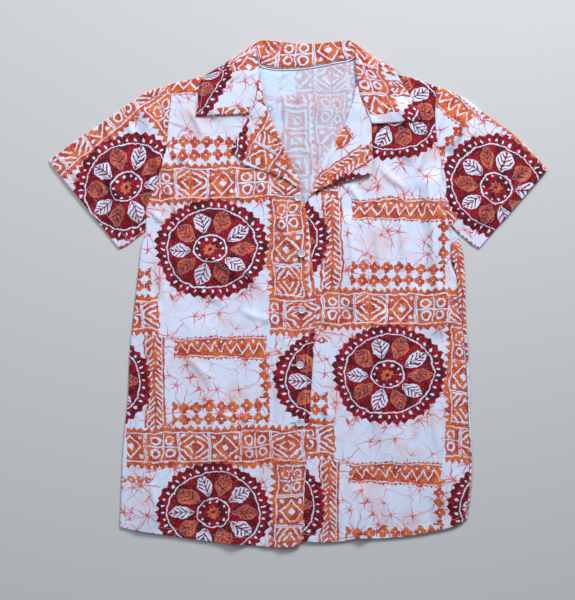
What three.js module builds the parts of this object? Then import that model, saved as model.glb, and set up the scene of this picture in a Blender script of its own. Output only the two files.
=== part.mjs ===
import * as THREE from 'three';

// A short-sleeved camp shirt with a notched collar, buttoned and laid flat on its back.
// Millimetres. +X is to the right seen from above, +Y towards the collar, +Z up.
// Right and left are the wearer's, so the right half of the shirt lies at -X.

// ---- driving sizes ---------------------------------------------------------

const WALL = 1.2; // cloth with its turned edges, as one wall
const SEAM_GAP = 0.3; // air between neighbouring pieces
const LAYER = WALL + SEAM_GAP; // rise from the middle of one cloth layer to the next
const BACK_MID = WALL / 2; // middle of the back's wall where it rests
const FRONT_MID = BACK_MID + LAYER; // middle of the fronts' wall where they lie lowest
const SEAM_CUT = 0.6; // distance from the armhole's line to the sleeve's first section

const FRONT_LOFT = 1.1; // air that stays between front and back in the middle
const HALF_WIDTH_AT_HEM = 268;
const HALF_WIDTH_AT_ARMHOLE = 236;
const HEM_LEVEL = -354; // Y of the side seams' lower ends
const ARMHOLE_LEVEL = 96; // Y of the underarm points
const SIDE_FADE = 26; // width over which the loft dies out towards a side edge
const SHOULDER_FADE = 18; // width over which it dies out towards the shoulder

const OVERLAP_START = -38; // the right front climbs onto the left one between these X
const OVERLAP_END = -22;
const OVERLAP_RISE = 2.4; // the fronts' turned edges make the overlap thicker than one wall
const LEAF_CLEARANCE = 0.6; // extra air under the collar's leaf, over the fronts' folds

const NECK_LIFT_START = 258; // every layer climbs over the hidden leaf between these Y
const NECK_LIFT_END = 280;
const NECK_LIFT_HALF_WIDTH = 142; // and it dies out beside it between these distances from X = 0
const NECK_LIFT_REACH = 168;

const ROLL_HEIGHT = 3.2; // height of a lapel's soft roll above the lapel's own layer
const ROLL_INSET = 2.8; // distance from a roll line back to the front's own edge
const ROLL_DROP = 0.7; // share of the roll's height that is lost at its lower end
const ROLL_DROP_START = 0.7; // share of the roll's length where it begins to drop
const ROLL_PROFILE = [[0.9, 0.1], [0.15, 1.3], [0, 2.5], [0.7, 3.8]]; // [inset, rise] round the roll

// How far the collar's bends reach, and how near the leaf's handle lies to the roll.
const STAND_REACH = { under: 3, onTop: 0.9 };
const LEAF_REACH = { under: 0.9, onTop: 3 };
const LEAF_HANDLE = { under: 0.85, onTop: 0.6 };
const CROWDING = 1.4; // above 1, a section's points crowd towards the roll

const BUTTON = { diameter: 11.4, thickness: 2.2, bevel: 0.4, holeSpread: 1.5, holeRadius: 0.75 };

const COLORS = { cloth: 0xd5d6e6, inside: 0xc9dcf2, lapel: 0xc6683a, collar: 0xd0784a, button: 0xc9c6c8 };

// ---- outlines, each a table of [x, y] --------------------------------------

const RIGHT_SIDE = [
  [-269.8, -354.2], [-268.3, -313], [-266.8, -270], [-263.7, -216], [-257.6, -161],
  [-254.6, -88], [-247, -15], [-240.9, 39.5], [-236.4, 76], [-230.3, 95.8],
];
const RIGHT_ARMHOLE = [
  [-230.3, 95.8], [-230.3, 123], [-227.2, 138.3], [-215.1, 164.2], [-204.4, 200.6],
  [-199.9, 217.4], [-197.1, 248.4], [-195.3, 267.5], [-192.3, 293.4], [-190.8, 319.2],
];
const LEFT_SIDE_FOLD = [
  [257.6, -343.5], [263, -307], [265.2, -252], [263, -197.6], [261.4, -143],
  [259.2, -88], [255.4, -24], [254.6, 21.3], [251.6, 57.8], [247.5, 80],
];
const LEFT_SIDE_SEAM = [
  [253.6, -344.5], [259, -307], [261, -252], [259.2, -197.6], [257.4, -143],
  [254.2, -88], [248.5, -36.5], [244, -22], [240.9, 25.8], [233.3, 46], [231.8, 77.5], [229.5, 106.4],
];
const LEFT_ARMHOLE = [
  [229.5, 106.4], [227.2, 115.5], [222.5, 135.3], [225.7, 155], [225.7, 170.2], [223.6, 182.4],
  [219.3, 194], [213.6, 226.5], [209.5, 252], [209, 279.7], [210.2, 301], [212, 314.6],
];
const RIGHT_SHOULDER = [
  [-190.8, 319.2], [-166.4, 325.3], [-145.2, 329.6], [-123.9, 331.8], [-102.6, 340], [-68, 352],
];
const LEFT_SHOULDER = [
  [88.9, 352.6], [110.2, 343.5], [131.5, 337.2], [152.8, 332.4], [174, 328], [212, 314.6],
];
const BACK_NECKLINE = [
  [-68, 352], [-60, 343.5], [-37.2, 339.6], [0.8, 339.6], [34.2, 344.4], [64.6, 350.8], [88.9, 352.6],
];

const RIGHT_FRONT_EDGE = [
  [6.8, -373.2], [9.3, -324], [13.8, -252], [18.1, -207], [21, -140], [24, -96],
  [28.1, -18], [25.1, 20], [20.5, 67], [17.5, 97], [14.4, 120], [8.4, 138.3], [6, 152],
];
const RIGHT_ROLL = [[6, 158], [-0.8, 177.8], [-19, 218.9], [-37.2, 256.9], [-47.9, 281.2], [-57.6, 323.6]];
const LEFT_FRONT_EDGE = [
  [-16, -373.9], [-16, -252], [-16, -140], [-16, -18], [-16, 67], [-12, 103], [2, 128], [14, 140],
];
const LEFT_ROLL = [
  [17, 148], [24.5, 161], [33.6, 188.5], [55.5, 228], [69.2, 250.8], [82.8, 287.3], [88.9, 314],
];

const RIGHT_HEM = [
  [-269.8, -354.2], [-239.4, -360.2], [-193.8, -367.1], [-146.7, -373.9], [-108.7, -378.5],
  [-75.2, -381.5], [-34.2, -384.6], [-10.5, -383.6], [2, -380], [6.8, -373.2],
];
const LEFT_HEM = [
  [-16, -373.9], [6.8, -374.7], [22, -376.7], [64.6, -376], [88.9, -371.4], [131.5, -370.9],
  [174, -366.3], [216.6, -358.5], [237.9, -352], [253.6, -344.5],
];
const BACK_HEM = [
  [-268.4, -352.2], [-193.8, -365.2], [-108.7, -376.6], [-34.2, -382.6], [22, -375],
  [88.9, -369.4], [174, -364.4], [216.6, -356.5], [257, -342.5],
];

const RIGHT_SLEEVE_TOP = [
  [-192, 318.6], [-209, 313.1], [-230.3, 305.5], [-251.6, 291.8],
  [-294.1, 261.4], [-336.7, 232.6], [-377.7, 202],
];
const RIGHT_SLEEVE_CUFF = [[-270.4, 68.9], [-377.7, 202]];
const RIGHT_UNDERARM = [[-231.8, 98], [-259.2, 74.8], [-270.4, 68.9]];
const LEFT_SLEEVE_TOP = [
  [213.2, 314], [237.9, 305.5], [259.2, 293.4], [280.4, 276.6],
  [323, 246.2], [344.3, 226.5], [365.6, 204], [379.2, 188.5],
];
const LEFT_SLEEVE_CUFF = [[275.4, 68.9], [379.2, 188.5]];
const LEFT_UNDERARM = [[231.4, 108.8], [246.8, 91.2], [264, 76.5], [275.4, 68.9]];

const RIGHT_LAPEL_GORGE = [[-57.6, 323.6], [-61.9, 297.5], [-69.4, 270]];
const RIGHT_LAPEL_EDGE = [
  [-69.4, 270], [-79.8, 256.9], [-88.9, 243], [-101.1, 218.9],
  [-79.8, 196.1], [-40.3, 182.9], [-16, 173], [-2, 162.5],
];
const LEFT_LAPEL_GORGE = [[88.9, 313.4], [97, 291.1], [107.6, 267.5], [111.6, 256.2]];
const LEFT_LAPEL_EDGE = [
  [111.6, 256.2], [113, 218.9], [113.2, 183], [108.7, 180.1], [73.7, 171.8], [44, 164], [23, 153.5],
];

const STRIP_GAP = 2.2; // from the left front's edge to the strip of the back beside it

// Soft folds: [name, from x, from y, to x, to y, half width, height].
const FOLDS = [
  ['right chest puff', -160, 50, -78, 38, 26, 2.6],
  ['right chest crease', -52, 122, -46, 20, 9, -1.6],
  ['right front edge curl', -22, 108, -2, 62, 13, 1.5],
  ['right hem ridge', -95, -190, -98, -380, 14, 2.6],
  ['right hem trough', -66, -250, -70, -380, 9, -1.4],
  ['right side swell', -216, -40, -228, -330, 24, 2.2],
  ['right waist swell', -150, -60, -128, -220, 26, 1.8],
  ['right sleeve fold', -247, 292, -226, 250, 10, 2.8],
  ['right sleeve cuff fold', -300, 205, -262, 128, 16, 2.4],
  ['right armhole pucker', -226, 236, -200, 192, 8, 1.8],
  ['left collar shoulder fold', 160, 276, 170, 220, 18, 2.4],
  ['left armhole fold', 203, 168, 214, -52, 14, 3.4],
  ['left chest fold', 76, 110, 82, -14, 12, 1.9],
  ['left inner armhole trough', 182, 150, 188, 20, 12, -1.4],
  ['left side swell', 214, -90, 226, -300, 22, 2.3],
  ['left hem pucker', 95, -300, 98, -376, 10, 2.6],
  ['left waist swell', 120, -60, 150, -240, 26, 1.9],
  ['left sleeve fold', 248, 284, 233, 226, 10, 3.2],
  ['left sleeve cuff fold', 318, 196, 280, 116, 16, 2.4],
];

// Inside of the back, seen in the open neck: the same columns.
const BACK_FOLDS = [
  ['neck fold one', 8, 300, 16, 215, 7, 0.9],
  ['neck fold two', 44, 318, 32, 212, 8, 1.1],
  ['neck fold three', -22, 300, -8, 235, 7, 0.8],
];

// Collar sections from the right end, round the neck, to the left end.
// Each row: the neck seam, the roll and the outer edge as [x, y, z], and which way the
// leaf lies there: 1 on top of the fronts, -1 under the back.
const COLLAR_SECTIONS = [
  { seam: [-72.2, 272.8, 6.2], roll: [-75.4, 272.4, 6.4], edge: [-154.3, 269, 3.7], side: 1 },
  { seam: [-67.2, 286, 6.4], roll: [-70.6, 286.6, 6.7], edge: [-152.6, 284, 3.8], side: 1 },
  { seam: [-62.6, 302, 6.8], roll: [-66, 303, 7.2], edge: [-150.6, 301, 4.2], side: 1 },
  { seam: [-60.4, 318, 7], roll: [-61.4, 321, 7.4], edge: [-149, 315, 5.2], side: 1 },
  { seam: [-66.5, 332, 5.2], roll: [-59.4, 334, 7], edge: [-146.5, 324, 6], side: 1 },
  { seam: [-68.5, 344, 5.2], roll: [-61, 350, 6.6], edge: [-141, 329.5, 6.6], side: 1 },
  { seam: [-66.6, 357, 4.6], roll: [-63, 364, 5.8], edge: [-136, 334, 5.7], side: 0.6 },
  { seam: [-63.6, 359.5, 3.6], roll: [-63.6, 378, 4], edge: [-131, 336.8, 3.6], side: 0 },
  { seam: [-60.5, 354, 2.6], roll: [-58, 383.6, 2.8], edge: [-126, 335.4, 1.5], side: -0.6 },
  { seam: [-55, 346.2, 2.1], roll: [-45, 384.6, 2.2], edge: [-118, 329, 0.6], side: -1 },
  { seam: [-36, 341.6, 2.1], roll: [-26, 383, 2.2], edge: [-80, 312, 0.6], side: -1 },
  { seam: [-6, 341.4, 2.1], roll: [-2, 379.8, 2.2], edge: [-18, 305, 0.6], side: -1 },
  { seam: [26, 344.9, 2.1], roll: [24, 379.9, 2.2], edge: [46, 307, 0.6], side: -1 },
  { seam: [56, 351, 2.1], roll: [50, 381.6, 2.2], edge: [94, 317, 0.6], side: -1 },
  { seam: [77, 354.4, 2.1], roll: [70, 384.2, 2.2], edge: [130, 334.2, 0.6], side: -1 },
  { seam: [83, 357.6, 2.6], roll: [79.6, 384.4, 2.8], edge: [136.5, 340.2, 1.5], side: -0.6 },
  { seam: [87, 360.4, 3.6], roll: [85.6, 379, 4], edge: [141.5, 344.2, 3.6], side: 0 },
  { seam: [90, 358, 4.6], roll: [88, 368, 5.8], edge: [146, 342.4, 5.7], side: 0.6 },
  { seam: [95, 346, 5.2], roll: [88.8, 354, 6.6], edge: [149.4, 336, 6.6], side: 1 },
  { seam: [97, 332, 5.2], roll: [89.6, 337, 7], edge: [155, 326.4, 6], side: 1 },
  { seam: [91.4, 317.4, 7], roll: [92, 320, 7.4], edge: [161, 316, 5.2], side: 1 },
  { seam: [94.4, 302, 6.8], roll: [97.6, 301.4, 7.2], edge: [170, 302, 4.2], side: 1 },
  { seam: [100, 288, 6.4], roll: [103.2, 287.2, 6.7], edge: [178, 288, 3.8], side: 1 },
  { seam: [106.2, 273.4, 6.2], roll: [109.4, 272.6, 6.4], edge: [185.4, 274.4, 3.8], side: 1 },
  { seam: [112.8, 258.6, 6], roll: [116, 258, 6.2], edge: [190.8, 262, 3.7], side: 1 },
];

const BUTTONS = [[0.6, 146.2], [6.2, 60.8], [6.8, -24.3], [3.8, -107.9], [2.7, -195.2]]; // [x, y], neck first

const RIGHT_LAPEL_LIFT = 0.6; // what the outer edge stands off the front
const LEFT_LAPEL_LIFT = 3.4;

// ---- grid sizes ------------------------------------------------------------

const ARMHOLE_CELLS = 9; // the same on every piece that meets the armhole
const FRONT_CELLS = { across: 20, side: 18, edge: 19, roll: 8 };
const BACK_CELLS = { side: 11, wrapped: 10, rightShoulder: 4, neck: 7, leftShoulder: 5 };
const SLEEVE_LENGTH_CELLS = 7;
const LAPEL_CELLS = { across: 6, along: 16 };
const COLLAR_CELLS = { along: 44, stand: 3, leaf: 7 };
const BUTTON_SIDES = 20;
const BUTTON_HOLE_SIDES = 6;

// ---- curves and heights ----------------------------------------------------

const { smoothstep, lerp, clamp } = THREE.MathUtils;

function curveThrough(...tables) {
  const points = [];
  for (const [x, y] of tables.flat()) {
    const point = new THREE.Vector3(x, y, 0);
    if (points.length === 0 || points.at(-1).distanceTo(point) > WALL) points.push(point);
  }
  return new THREE.CatmullRomCurve3(points, false, 'centripetal');
}

function polyline(table) {
  const points = table.map(([x, y]) => new THREE.Vector3(x, y, 0));
  return new THREE.CatmullRomCurve3(points, false, 'catmullrom', 0);
}

function foldHeight(folds, x, y) {
  let height = 0;
  for (const [, fromX, fromY, toX, toY, halfWidth, rise] of folds) {
    const alongX = toX - fromX;
    const alongY = toY - fromY;
    const share = ((x - fromX) * alongX + (y - fromY) * alongY) / (alongX ** 2 + alongY ** 2);
    const held = clamp(share, 0, 1);
    const distance = Math.hypot(x - fromX - held * alongX, y - fromY - held * alongY);
    height += rise * Math.exp(-((distance / halfWidth) ** 2));
  }
  return height;
}

function sideFade(x, y) {
  const share = (y - HEM_LEVEL) / (ARMHOLE_LEVEL - HEM_LEVEL);
  const halfWidth = lerp(HALF_WIDTH_AT_HEM, HALF_WIDTH_AT_ARMHOLE, clamp(share, 0, 1));
  const belowSleeves = 1 - smoothstep(y, ARMHOLE_LEVEL, ARMHOLE_LEVEL + SIDE_FADE);
  return 1 - belowSleeves * smoothstep(Math.abs(x), halfWidth - SIDE_FADE, halfWidth);
}

function shoulderFade(x, y) {
  const [, neckY] = RIGHT_SHOULDER.at(-1);
  const [armholeX, armholeY] = RIGHT_SHOULDER[0];
  const [cuffX, cuffY] = RIGHT_SLEEVE_TOP.at(-1);
  const outward = Math.abs(x);
  const onBody = lerp(neckY, armholeY, outward / -armholeX);
  const onSleeve = lerp(armholeY, cuffY, (outward + armholeX) / (armholeX - cuffX));
  return smoothstep(Math.min(onBody, onSleeve) - y, 0, SHOULDER_FADE);
}

function loft(x, y) {
  const raw = FRONT_LOFT + foldHeight(FOLDS, x, y);
  return Math.max(raw, 0) * sideFade(x, y) * shoulderFade(x, y);
}

// The hidden half of the collar lies under the back, so every layer above it is lifted.
function neckLift(x, y) {
  const beside = 1 - smoothstep(Math.abs(x), NECK_LIFT_HALF_WIDTH, NECK_LIFT_REACH);
  return LAYER * smoothstep(y, NECK_LIFT_START, NECK_LIFT_END) * beside;
}

function frontMid(x, y) {
  return FRONT_MID + neckLift(x, y) + loft(x, y);
}

function rightFrontMid(x, y) {
  return frontMid(x, y) + OVERLAP_RISE * smoothstep(x, OVERLAP_START, OVERLAP_END);
}

function backMid(x, y) {
  const folds = Math.max(foldHeight(BACK_FOLDS, x, y), 0);
  return BACK_MID + neckLift(x, y) + folds;
}

// ---- grids of points and the walls made from them ---------------------------

// Points along a boundary made of stretches, each [curve, number of cells].
function boundary(...stretches) {
  const points = [stretches[0][0].getPointAt(0)];
  for (const [curve, cells] of stretches) {
    for (let k = 1; k <= cells; k += 1) points.push(curve.getPointAt(k / cells));
  }
  return points;
}

// A point of the four-sided patch between boundary points: column i of row j.
function patchPoint({ left, right, bottom, top }, j, i) {
  const v = j / (left.length - 1);
  const u = i / (bottom.length - 1);
  const sides = left[j].clone().lerp(right[j], u);
  const ends = bottom[i].clone().lerp(top[i], v);
  const lower = left[0].clone().lerp(right[0], u);
  const upper = left.at(-1).clone().lerp(right.at(-1), u);
  return sides.add(ends).sub(lower.lerp(upper, v));
}

// The whole patch at its height: rows run from the bottom boundary to the top one.
function patch(outline, mid) {
  return outline.left.map((_, j) => outline.bottom.map((__, i) => {
    const point = patchPoint(outline, j, i);
    point.z = mid(point.x, point.y);
    return point;
  }));
}

function gridNormals(grid, ring) {
  const lastRow = grid.length - 1;
  const count = grid[0].length;
  return grid.map((row, j) => row.map((point, i) => {
    const next = ring ? row[(i + 1) % count] : row[Math.min(i + 1, count - 1)];
    const before = ring ? row[(i + count - 1) % count] : row[Math.max(i - 1, 0)];
    const across = next.clone().sub(before);
    const along = grid[Math.min(j + 1, lastRow)][i].clone().sub(grid[Math.max(j - 1, 0)][i]);
    return across.cross(along).normalize();
  }));
}

// A closed wall: the grid's points moved half a wall to each side, and its rim.
function wallFromGrid(grid, ring = false) {
  const normals = gridNormals(grid, ring);
  const rows = grid.length;
  const columns = grid[0].length;
  const positions = [];
  for (const offset of [WALL / 2, -WALL / 2]) {
    for (let j = 0; j < rows; j += 1) {
      for (let i = 0; i < columns; i += 1) {
        const point = grid[j][i].clone().addScaledVector(normals[j][i], offset);
        positions.push(point.x, point.y, point.z);
      }
    }
  }
  const over = (j, i) => j * columns + (i % columns);
  const under = (j, i) => rows * columns + over(j, i);
  const index = [];
  const quad = (a, b, c, d) => index.push(a, b, c, a, c, d);
  const lastColumn = ring ? columns : columns - 1;
  for (let i = 0; i < lastColumn; i += 1) {
    for (let j = 0; j < rows - 1; j += 1) {
      quad(over(j, i), over(j, i + 1), over(j + 1, i + 1), over(j + 1, i));
      quad(under(j, i), under(j + 1, i), under(j + 1, i + 1), under(j, i + 1));
    }
    const last = rows - 1;
    quad(under(0, i), under(0, i + 1), over(0, i + 1), over(0, i));
    quad(over(last, i), over(last, i + 1), under(last, i + 1), under(last, i));
  }
  for (let j = 0; j < rows - 1 && !ring; j += 1) {
    const last = columns - 1;
    quad(under(j + 1, 0), under(j, 0), over(j, 0), over(j + 1, 0));
    quad(over(j + 1, last), over(j, last), under(j, last), under(j + 1, last));
  }
  const geometry = new THREE.BufferGeometry();
  geometry.setAttribute('position', new THREE.Float32BufferAttribute(positions, 3));
  geometry.setIndex(index);
  geometry.computeVertexNormals();
  return geometry;
}

function clothMesh(name, geometry, color) {
  const material = new THREE.MeshStandardMaterial({ color, roughness: 0.85, metalness: 0 });
  const mesh = new THREE.Mesh(geometry, material);
  mesh.name = name;
  return mesh;
}

// ---- the sewn pieces -------------------------------------------------------

// A line moved sideways: to its left for a positive distance, seen along its course.
function offsetLine(table, distance) {
  return table.map(([x, y], k) => {
    const [nextX, nextY] = table[Math.min(k + 1, table.length - 1)];
    const [lastX, lastY] = table[Math.max(k - 1, 0)];
    const length = Math.hypot(nextX - lastX, nextY - lastY);
    return [x - (distance * (nextY - lastY)) / length, y + (distance * (nextX - lastX)) / length];
  });
}

function buildFrontRight() {
  const roll = offsetLine(RIGHT_ROLL, ROLL_INSET);
  const outline = {
    left: boundary(
      [curveThrough(RIGHT_SIDE), FRONT_CELLS.side],
      [curveThrough(RIGHT_ARMHOLE), ARMHOLE_CELLS],
    ),
    right: boundary(
      [curveThrough(RIGHT_FRONT_EDGE, [roll[0]]), FRONT_CELLS.edge],
      [curveThrough(roll, [RIGHT_SHOULDER.at(-1)]), FRONT_CELLS.roll],
    ),
    bottom: boundary([curveThrough(RIGHT_HEM), FRONT_CELLS.across]),
    top: boundary([curveThrough(RIGHT_SHOULDER), FRONT_CELLS.across]),
  };
  return clothMesh('front_right', wallFromGrid(patch(outline, rightFrontMid)), COLORS.cloth);
}

function buildFrontLeft() {
  const roll = offsetLine(LEFT_ROLL, -ROLL_INSET);
  const outline = {
    left: boundary(
      [curveThrough(LEFT_FRONT_EDGE, [roll[0]]), FRONT_CELLS.edge],
      [curveThrough(roll, [LEFT_SHOULDER[0]]), FRONT_CELLS.roll],
    ),
    right: boundary(
      [curveThrough(LEFT_SIDE_SEAM), FRONT_CELLS.side],
      [curveThrough(LEFT_ARMHOLE), ARMHOLE_CELLS],
    ),
    bottom: boundary([curveThrough(LEFT_HEM), FRONT_CELLS.across]),
    top: boundary([curveThrough(LEFT_SHOULDER), FRONT_CELLS.across]),
  };
  return clothMesh('front_left', wallFromGrid(patch(outline, frontMid)), COLORS.cloth);
}

// The side seam's X on the folded-over strip of the back, at a height Y.
function seamXAt(y) {
  for (let k = 1; k < LEFT_SIDE_SEAM.length; k += 1) {
    const [lowX, lowY] = LEFT_SIDE_SEAM[k - 1];
    const [highX, highY] = LEFT_SIDE_SEAM[k];
    if (y <= highY) return lerp(lowX, highX, clamp((y - lowY) / (highY - lowY), 0, 1));
  }
  return LEFT_SIDE_SEAM.at(-1)[0];
}

// Points of the back past its left fold: round the fold and back to the side seam.
function wrapPoints(fold) {
  const radius = LAYER / 2;
  const centreX = fold.x - radius - WALL / 2;
  const points = [0.25, 0.5, 0.75, 1].map((share) => {
    const turn = share * Math.PI;
    const x = centreX + radius * Math.sin(turn);
    return new THREE.Vector3(x, fold.y, BACK_MID + radius * (1 - Math.cos(turn)));
  });
  const seamX = Math.min(seamXAt(fold.y) + STRIP_GAP, centreX - WALL);
  for (const share of [0.5, 1]) {
    points.push(new THREE.Vector3(lerp(centreX, seamX, share), fold.y, FRONT_MID));
  }
  return points;
}

// Points of a row that ends at the armhole, as many as in a row that goes round the fold.
function unwrappedPoints(before, end, count) {
  return Array.from({ length: count }, (_, k) => before.clone().lerp(end, (k + 1) / count));
}

function buildBack() {
  const { side, wrapped, rightShoulder, neck, leftShoulder } = BACK_CELLS;
  const fold = curveThrough(LEFT_SIDE_FOLD);
  const underarm = curveThrough([LEFT_SIDE_FOLD.at(-1), LEFT_ARMHOLE[0]]);
  const outline = {
    left: boundary([curveThrough(RIGHT_SIDE), side], [curveThrough(RIGHT_ARMHOLE), ARMHOLE_CELLS]),
    right: boundary(
      [fold, wrapped],
      [underarm, side - wrapped],
      [curveThrough(LEFT_ARMHOLE), ARMHOLE_CELLS],
    ),
    bottom: boundary([curveThrough(BACK_HEM), rightShoulder + neck + leftShoulder]),
    top: boundary(
      [curveThrough(RIGHT_SHOULDER), rightShoulder],
      [curveThrough(BACK_NECKLINE), neck],
      [curveThrough(LEFT_SHOULDER), leftShoulder],
    ),
  };
  const grid = patch(outline, backMid).map((row, j) => {
    const end = row.at(-1);
    const foldStart = end.clone();
    foldStart.x -= LAYER / 2 + WALL / 2;
    const around = [foldStart, ...wrapPoints(end)];
    const tail = j <= wrapped ? around : unwrappedPoints(row.at(-2), end, around.length);
    return [...row.slice(0, -1), ...tail];
  });
  return clothMesh('back', wallFromGrid(grid), COLORS.inside);
}

// A flattened tube: its over layer, the fold along the top, its under layer and back.
function buildSleeve(name, { armhole, cuff, top, underarm }) {
  const radius = LAYER / 2;
  const middle = BACK_MID + radius;
  const outline = {
    left: boundary([curveThrough(armhole), ARMHOLE_CELLS]),
    right: boundary([curveThrough(cuff), ARMHOLE_CELLS]),
    bottom: boundary([curveThrough(underarm), SLEEVE_LENGTH_CELLS]),
    top: boundary([curveThrough(top), SLEEVE_LENGTH_CELLS]),
  };
  const at = (place, out, rise) => {
    const row = Math.min(Math.floor(place), ARMHOLE_CELLS - 1);
    const point = patchPoint(outline, row, out).lerp(patchPoint(outline, row + 1, out), place - row);
    point.z = middle + rise * (rise > 0 ? radius + loft(point.x, point.y) : radius);
    return point;
  };
  const grid = [];
  for (let out = 0; out <= SLEEVE_LENGTH_CELLS; out += 1) {
    const width = at(0, out, 0).distanceTo(at(ARMHOLE_CELLS, out, 0));
    const edge = (radius / width) * ARMHOLE_CELLS;
    const bend = edge * (1 - Math.SQRT1_2);
    const flat = [edge, ...Array.from({ length: ARMHOLE_CELLS - 1 }, (_, k) => k + 1), ARMHOLE_CELLS - edge];
    const over = flat.map((place) => at(place, out, 1));
    const under = flat.toReversed().map((place) => at(place, out, -1));
    grid.push([
      at(0, out, 0),
      at(bend, out, Math.SQRT1_2),
      ...over,
      at(ARMHOLE_CELLS - bend, out, Math.SQRT1_2),
      at(ARMHOLE_CELLS, out, 0),
      at(ARMHOLE_CELLS - bend, out, -Math.SQRT1_2),
      ...under,
      at(bend, out, -Math.SQRT1_2),
    ]);
  }
  return clothMesh(name, wallFromGrid(grid, true), COLORS.cloth);
}

// A turned-back lapel: its roll rises from the front's edge and the leaf lies on the front.
function buildLapel(name, { roll, gorge, edge, mid, lift, inward }) {
  const { across, along } = LAPEL_CELLS;
  const outline = {
    left: boundary([curveThrough(roll.toReversed()), along]),
    right: boundary([polyline(edge), along]),
    bottom: boundary([curveThrough(gorge), across]),
    top: boundary([polyline([roll[0], edge.at(-1)]), across]),
  };
  const grid = patch(outline, mid).map((row, j) => {
    const share = j / along;
    const height = ROLL_HEIGHT * (1 - ROLL_DROP * smoothstep(share, ROLL_DROP_START, 1));
    const scale = (LAYER + height) / (LAYER + ROLL_HEIGHT);
    const edgePoint = row[0];
    const wrap = ROLL_PROFILE.map(([inset, rise]) => new THREE.Vector3(
      edgePoint.x + inward * inset,
      edgePoint.y,
      edgePoint.z + rise * scale,
    ));
    const leaf = row.map((point, i) => {
      const out = i / across;
      const x = i === 0 ? point.x + inward * ROLL_INSET : point.x;
      const rise = lerp(height, lift, smoothstep(out, 0, 1));
      return new THREE.Vector3(x, point.y, mid(x, point.y) + LAYER + rise);
    });
    return [...wrap, ...leaf];
  });
  return clothMesh(name, wallFromGrid(grid), COLORS.lapel);
}

function collarCurve(column) {
  const points = COLLAR_SECTIONS.map((section) => new THREE.Vector3(...section[column]));
  return new THREE.CatmullRomCurve3(points, false, 'catmullrom', 0.5);
}

function collarSideAt(share) {
  const place = share * (COLLAR_SECTIONS.length - 1);
  const row = Math.min(Math.floor(place), COLLAR_SECTIONS.length - 2);
  return lerp(COLLAR_SECTIONS[row].side, COLLAR_SECTIONS[row + 1].side, place - row);
}

// One section of the collar: up the stand, over the roll, down the leaf.
function collarSection(seam, roll, edge, side) {
  const toEdge = edge.clone().sub(roll).normalize();
  const toSeam = seam.clone().sub(roll).normalize();
  const turn = toEdge.sub(toSeam).normalize();
  const onTop = (side + 1) / 2;
  const longest = lerp(STAND_REACH.under, STAND_REACH.onTop, onTop);
  const standReach = Math.min(longest, seam.distanceTo(roll) * 0.4);
  const leafReach = lerp(LEAF_REACH.under, LEAF_REACH.onTop, onTop);
  const stand = new THREE.CubicBezierCurve3(
    seam,
    seam.clone().lerp(roll, 0.35),
    roll.clone().addScaledVector(turn, -standReach),
    roll,
  );
  const leafHandle = edge.clone().lerp(roll, lerp(LEAF_HANDLE.under, LEAF_HANDLE.onTop, onTop));
  leafHandle.z = lerp(edge.z, leafHandle.z, onTop);
  const leaf = new THREE.CubicBezierCurve3(
    roll,
    roll.clone().addScaledVector(turn, leafReach),
    leafHandle,
    edge,
  );
  const points = [];
  for (let i = 0; i < COLLAR_CELLS.stand; i += 1) {
    points.push(stand.getPoint(1 - (1 - i / COLLAR_CELLS.stand) ** CROWDING));
  }
  for (let i = 0; i <= COLLAR_CELLS.leaf; i += 1) {
    points.push(leaf.getPoint((i / COLLAR_CELLS.leaf) ** CROWDING));
  }
  return points;
}

// Keeps a collar point clear of the surface below and, on top, of the front under it.
function clearOfFronts(point, side) {
  const floor = side >= 1 ? rightOrLeftMid(point) + LAYER + LEAF_CLEARANCE : BACK_MID;
  point.z = Math.max(point.z, floor);
  return point;
}

function rightOrLeftMid(point) {
  return point.x < 0 ? rightFrontMid(point.x, point.y) : frontMid(point.x, point.y);
}

function buildCollar() {
  const seam = collarCurve('seam');
  const roll = collarCurve('roll');
  const edge = collarCurve('edge');
  const grid = [];
  for (let j = 0; j <= COLLAR_CELLS.along; j += 1) {
    const share = j / COLLAR_CELLS.along;
    const side = collarSideAt(share);
    const section = collarSection(seam.getPoint(share), roll.getPoint(share), edge.getPoint(share), side);
    grid.push(section.map((point) => clearOfFronts(point, side)));
  }
  return clothMesh('collar', wallFromGrid(grid), COLORS.collar);
}

function circlePoints(centreX, centreY, radius, sides) {
  return Array.from({ length: sides }, (_, k) => {
    const angle = (k / sides) * Math.PI * 2;
    return new THREE.Vector2(centreX + radius * Math.cos(angle), centreY + radius * Math.sin(angle));
  });
}

function buttonGeometry() {
  const rim = BUTTON.diameter / 2 - BUTTON.bevel;
  const disc = new THREE.Shape(circlePoints(0, 0, rim, BUTTON_SIDES));
  for (const [x, y] of [[1, 1], [-1, 1], [-1, -1], [1, -1]]) {
    const { holeSpread, holeRadius } = BUTTON;
    const hole = circlePoints(x * holeSpread, y * holeSpread, holeRadius, BUTTON_HOLE_SIDES);
    disc.holes.push(new THREE.Path(hole));
  }
  return new THREE.ExtrudeGeometry(disc, {
    depth: BUTTON.thickness - 2 * BUTTON.bevel,
    bevelThickness: BUTTON.bevel,
    bevelSize: BUTTON.bevel,
    bevelSegments: 1,
  });
}

function buildButton(number, x, y) {
  const material = new THREE.MeshStandardMaterial({ color: COLORS.button, roughness: 0.3, metalness: 0 });
  const mesh = new THREE.Mesh(buttonGeometry(), material);
  const reach = BUTTON.diameter / 2;
  const heights = [];
  for (let turn = 0; turn < 8; turn += 1) {
    const angle = (turn * Math.PI) / 4;
    heights.push(rightFrontMid(x + reach * Math.cos(angle), y + reach * Math.sin(angle)));
  }
  mesh.name = `button_${number}`;
  const underside = Math.max(...heights, rightFrontMid(x, y)) + WALL / 2 + SEAM_GAP;
  mesh.position.set(x, y, underside + BUTTON.bevel);
  return mesh;
}

// ---- the whole shirt -------------------------------------------------------

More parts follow.
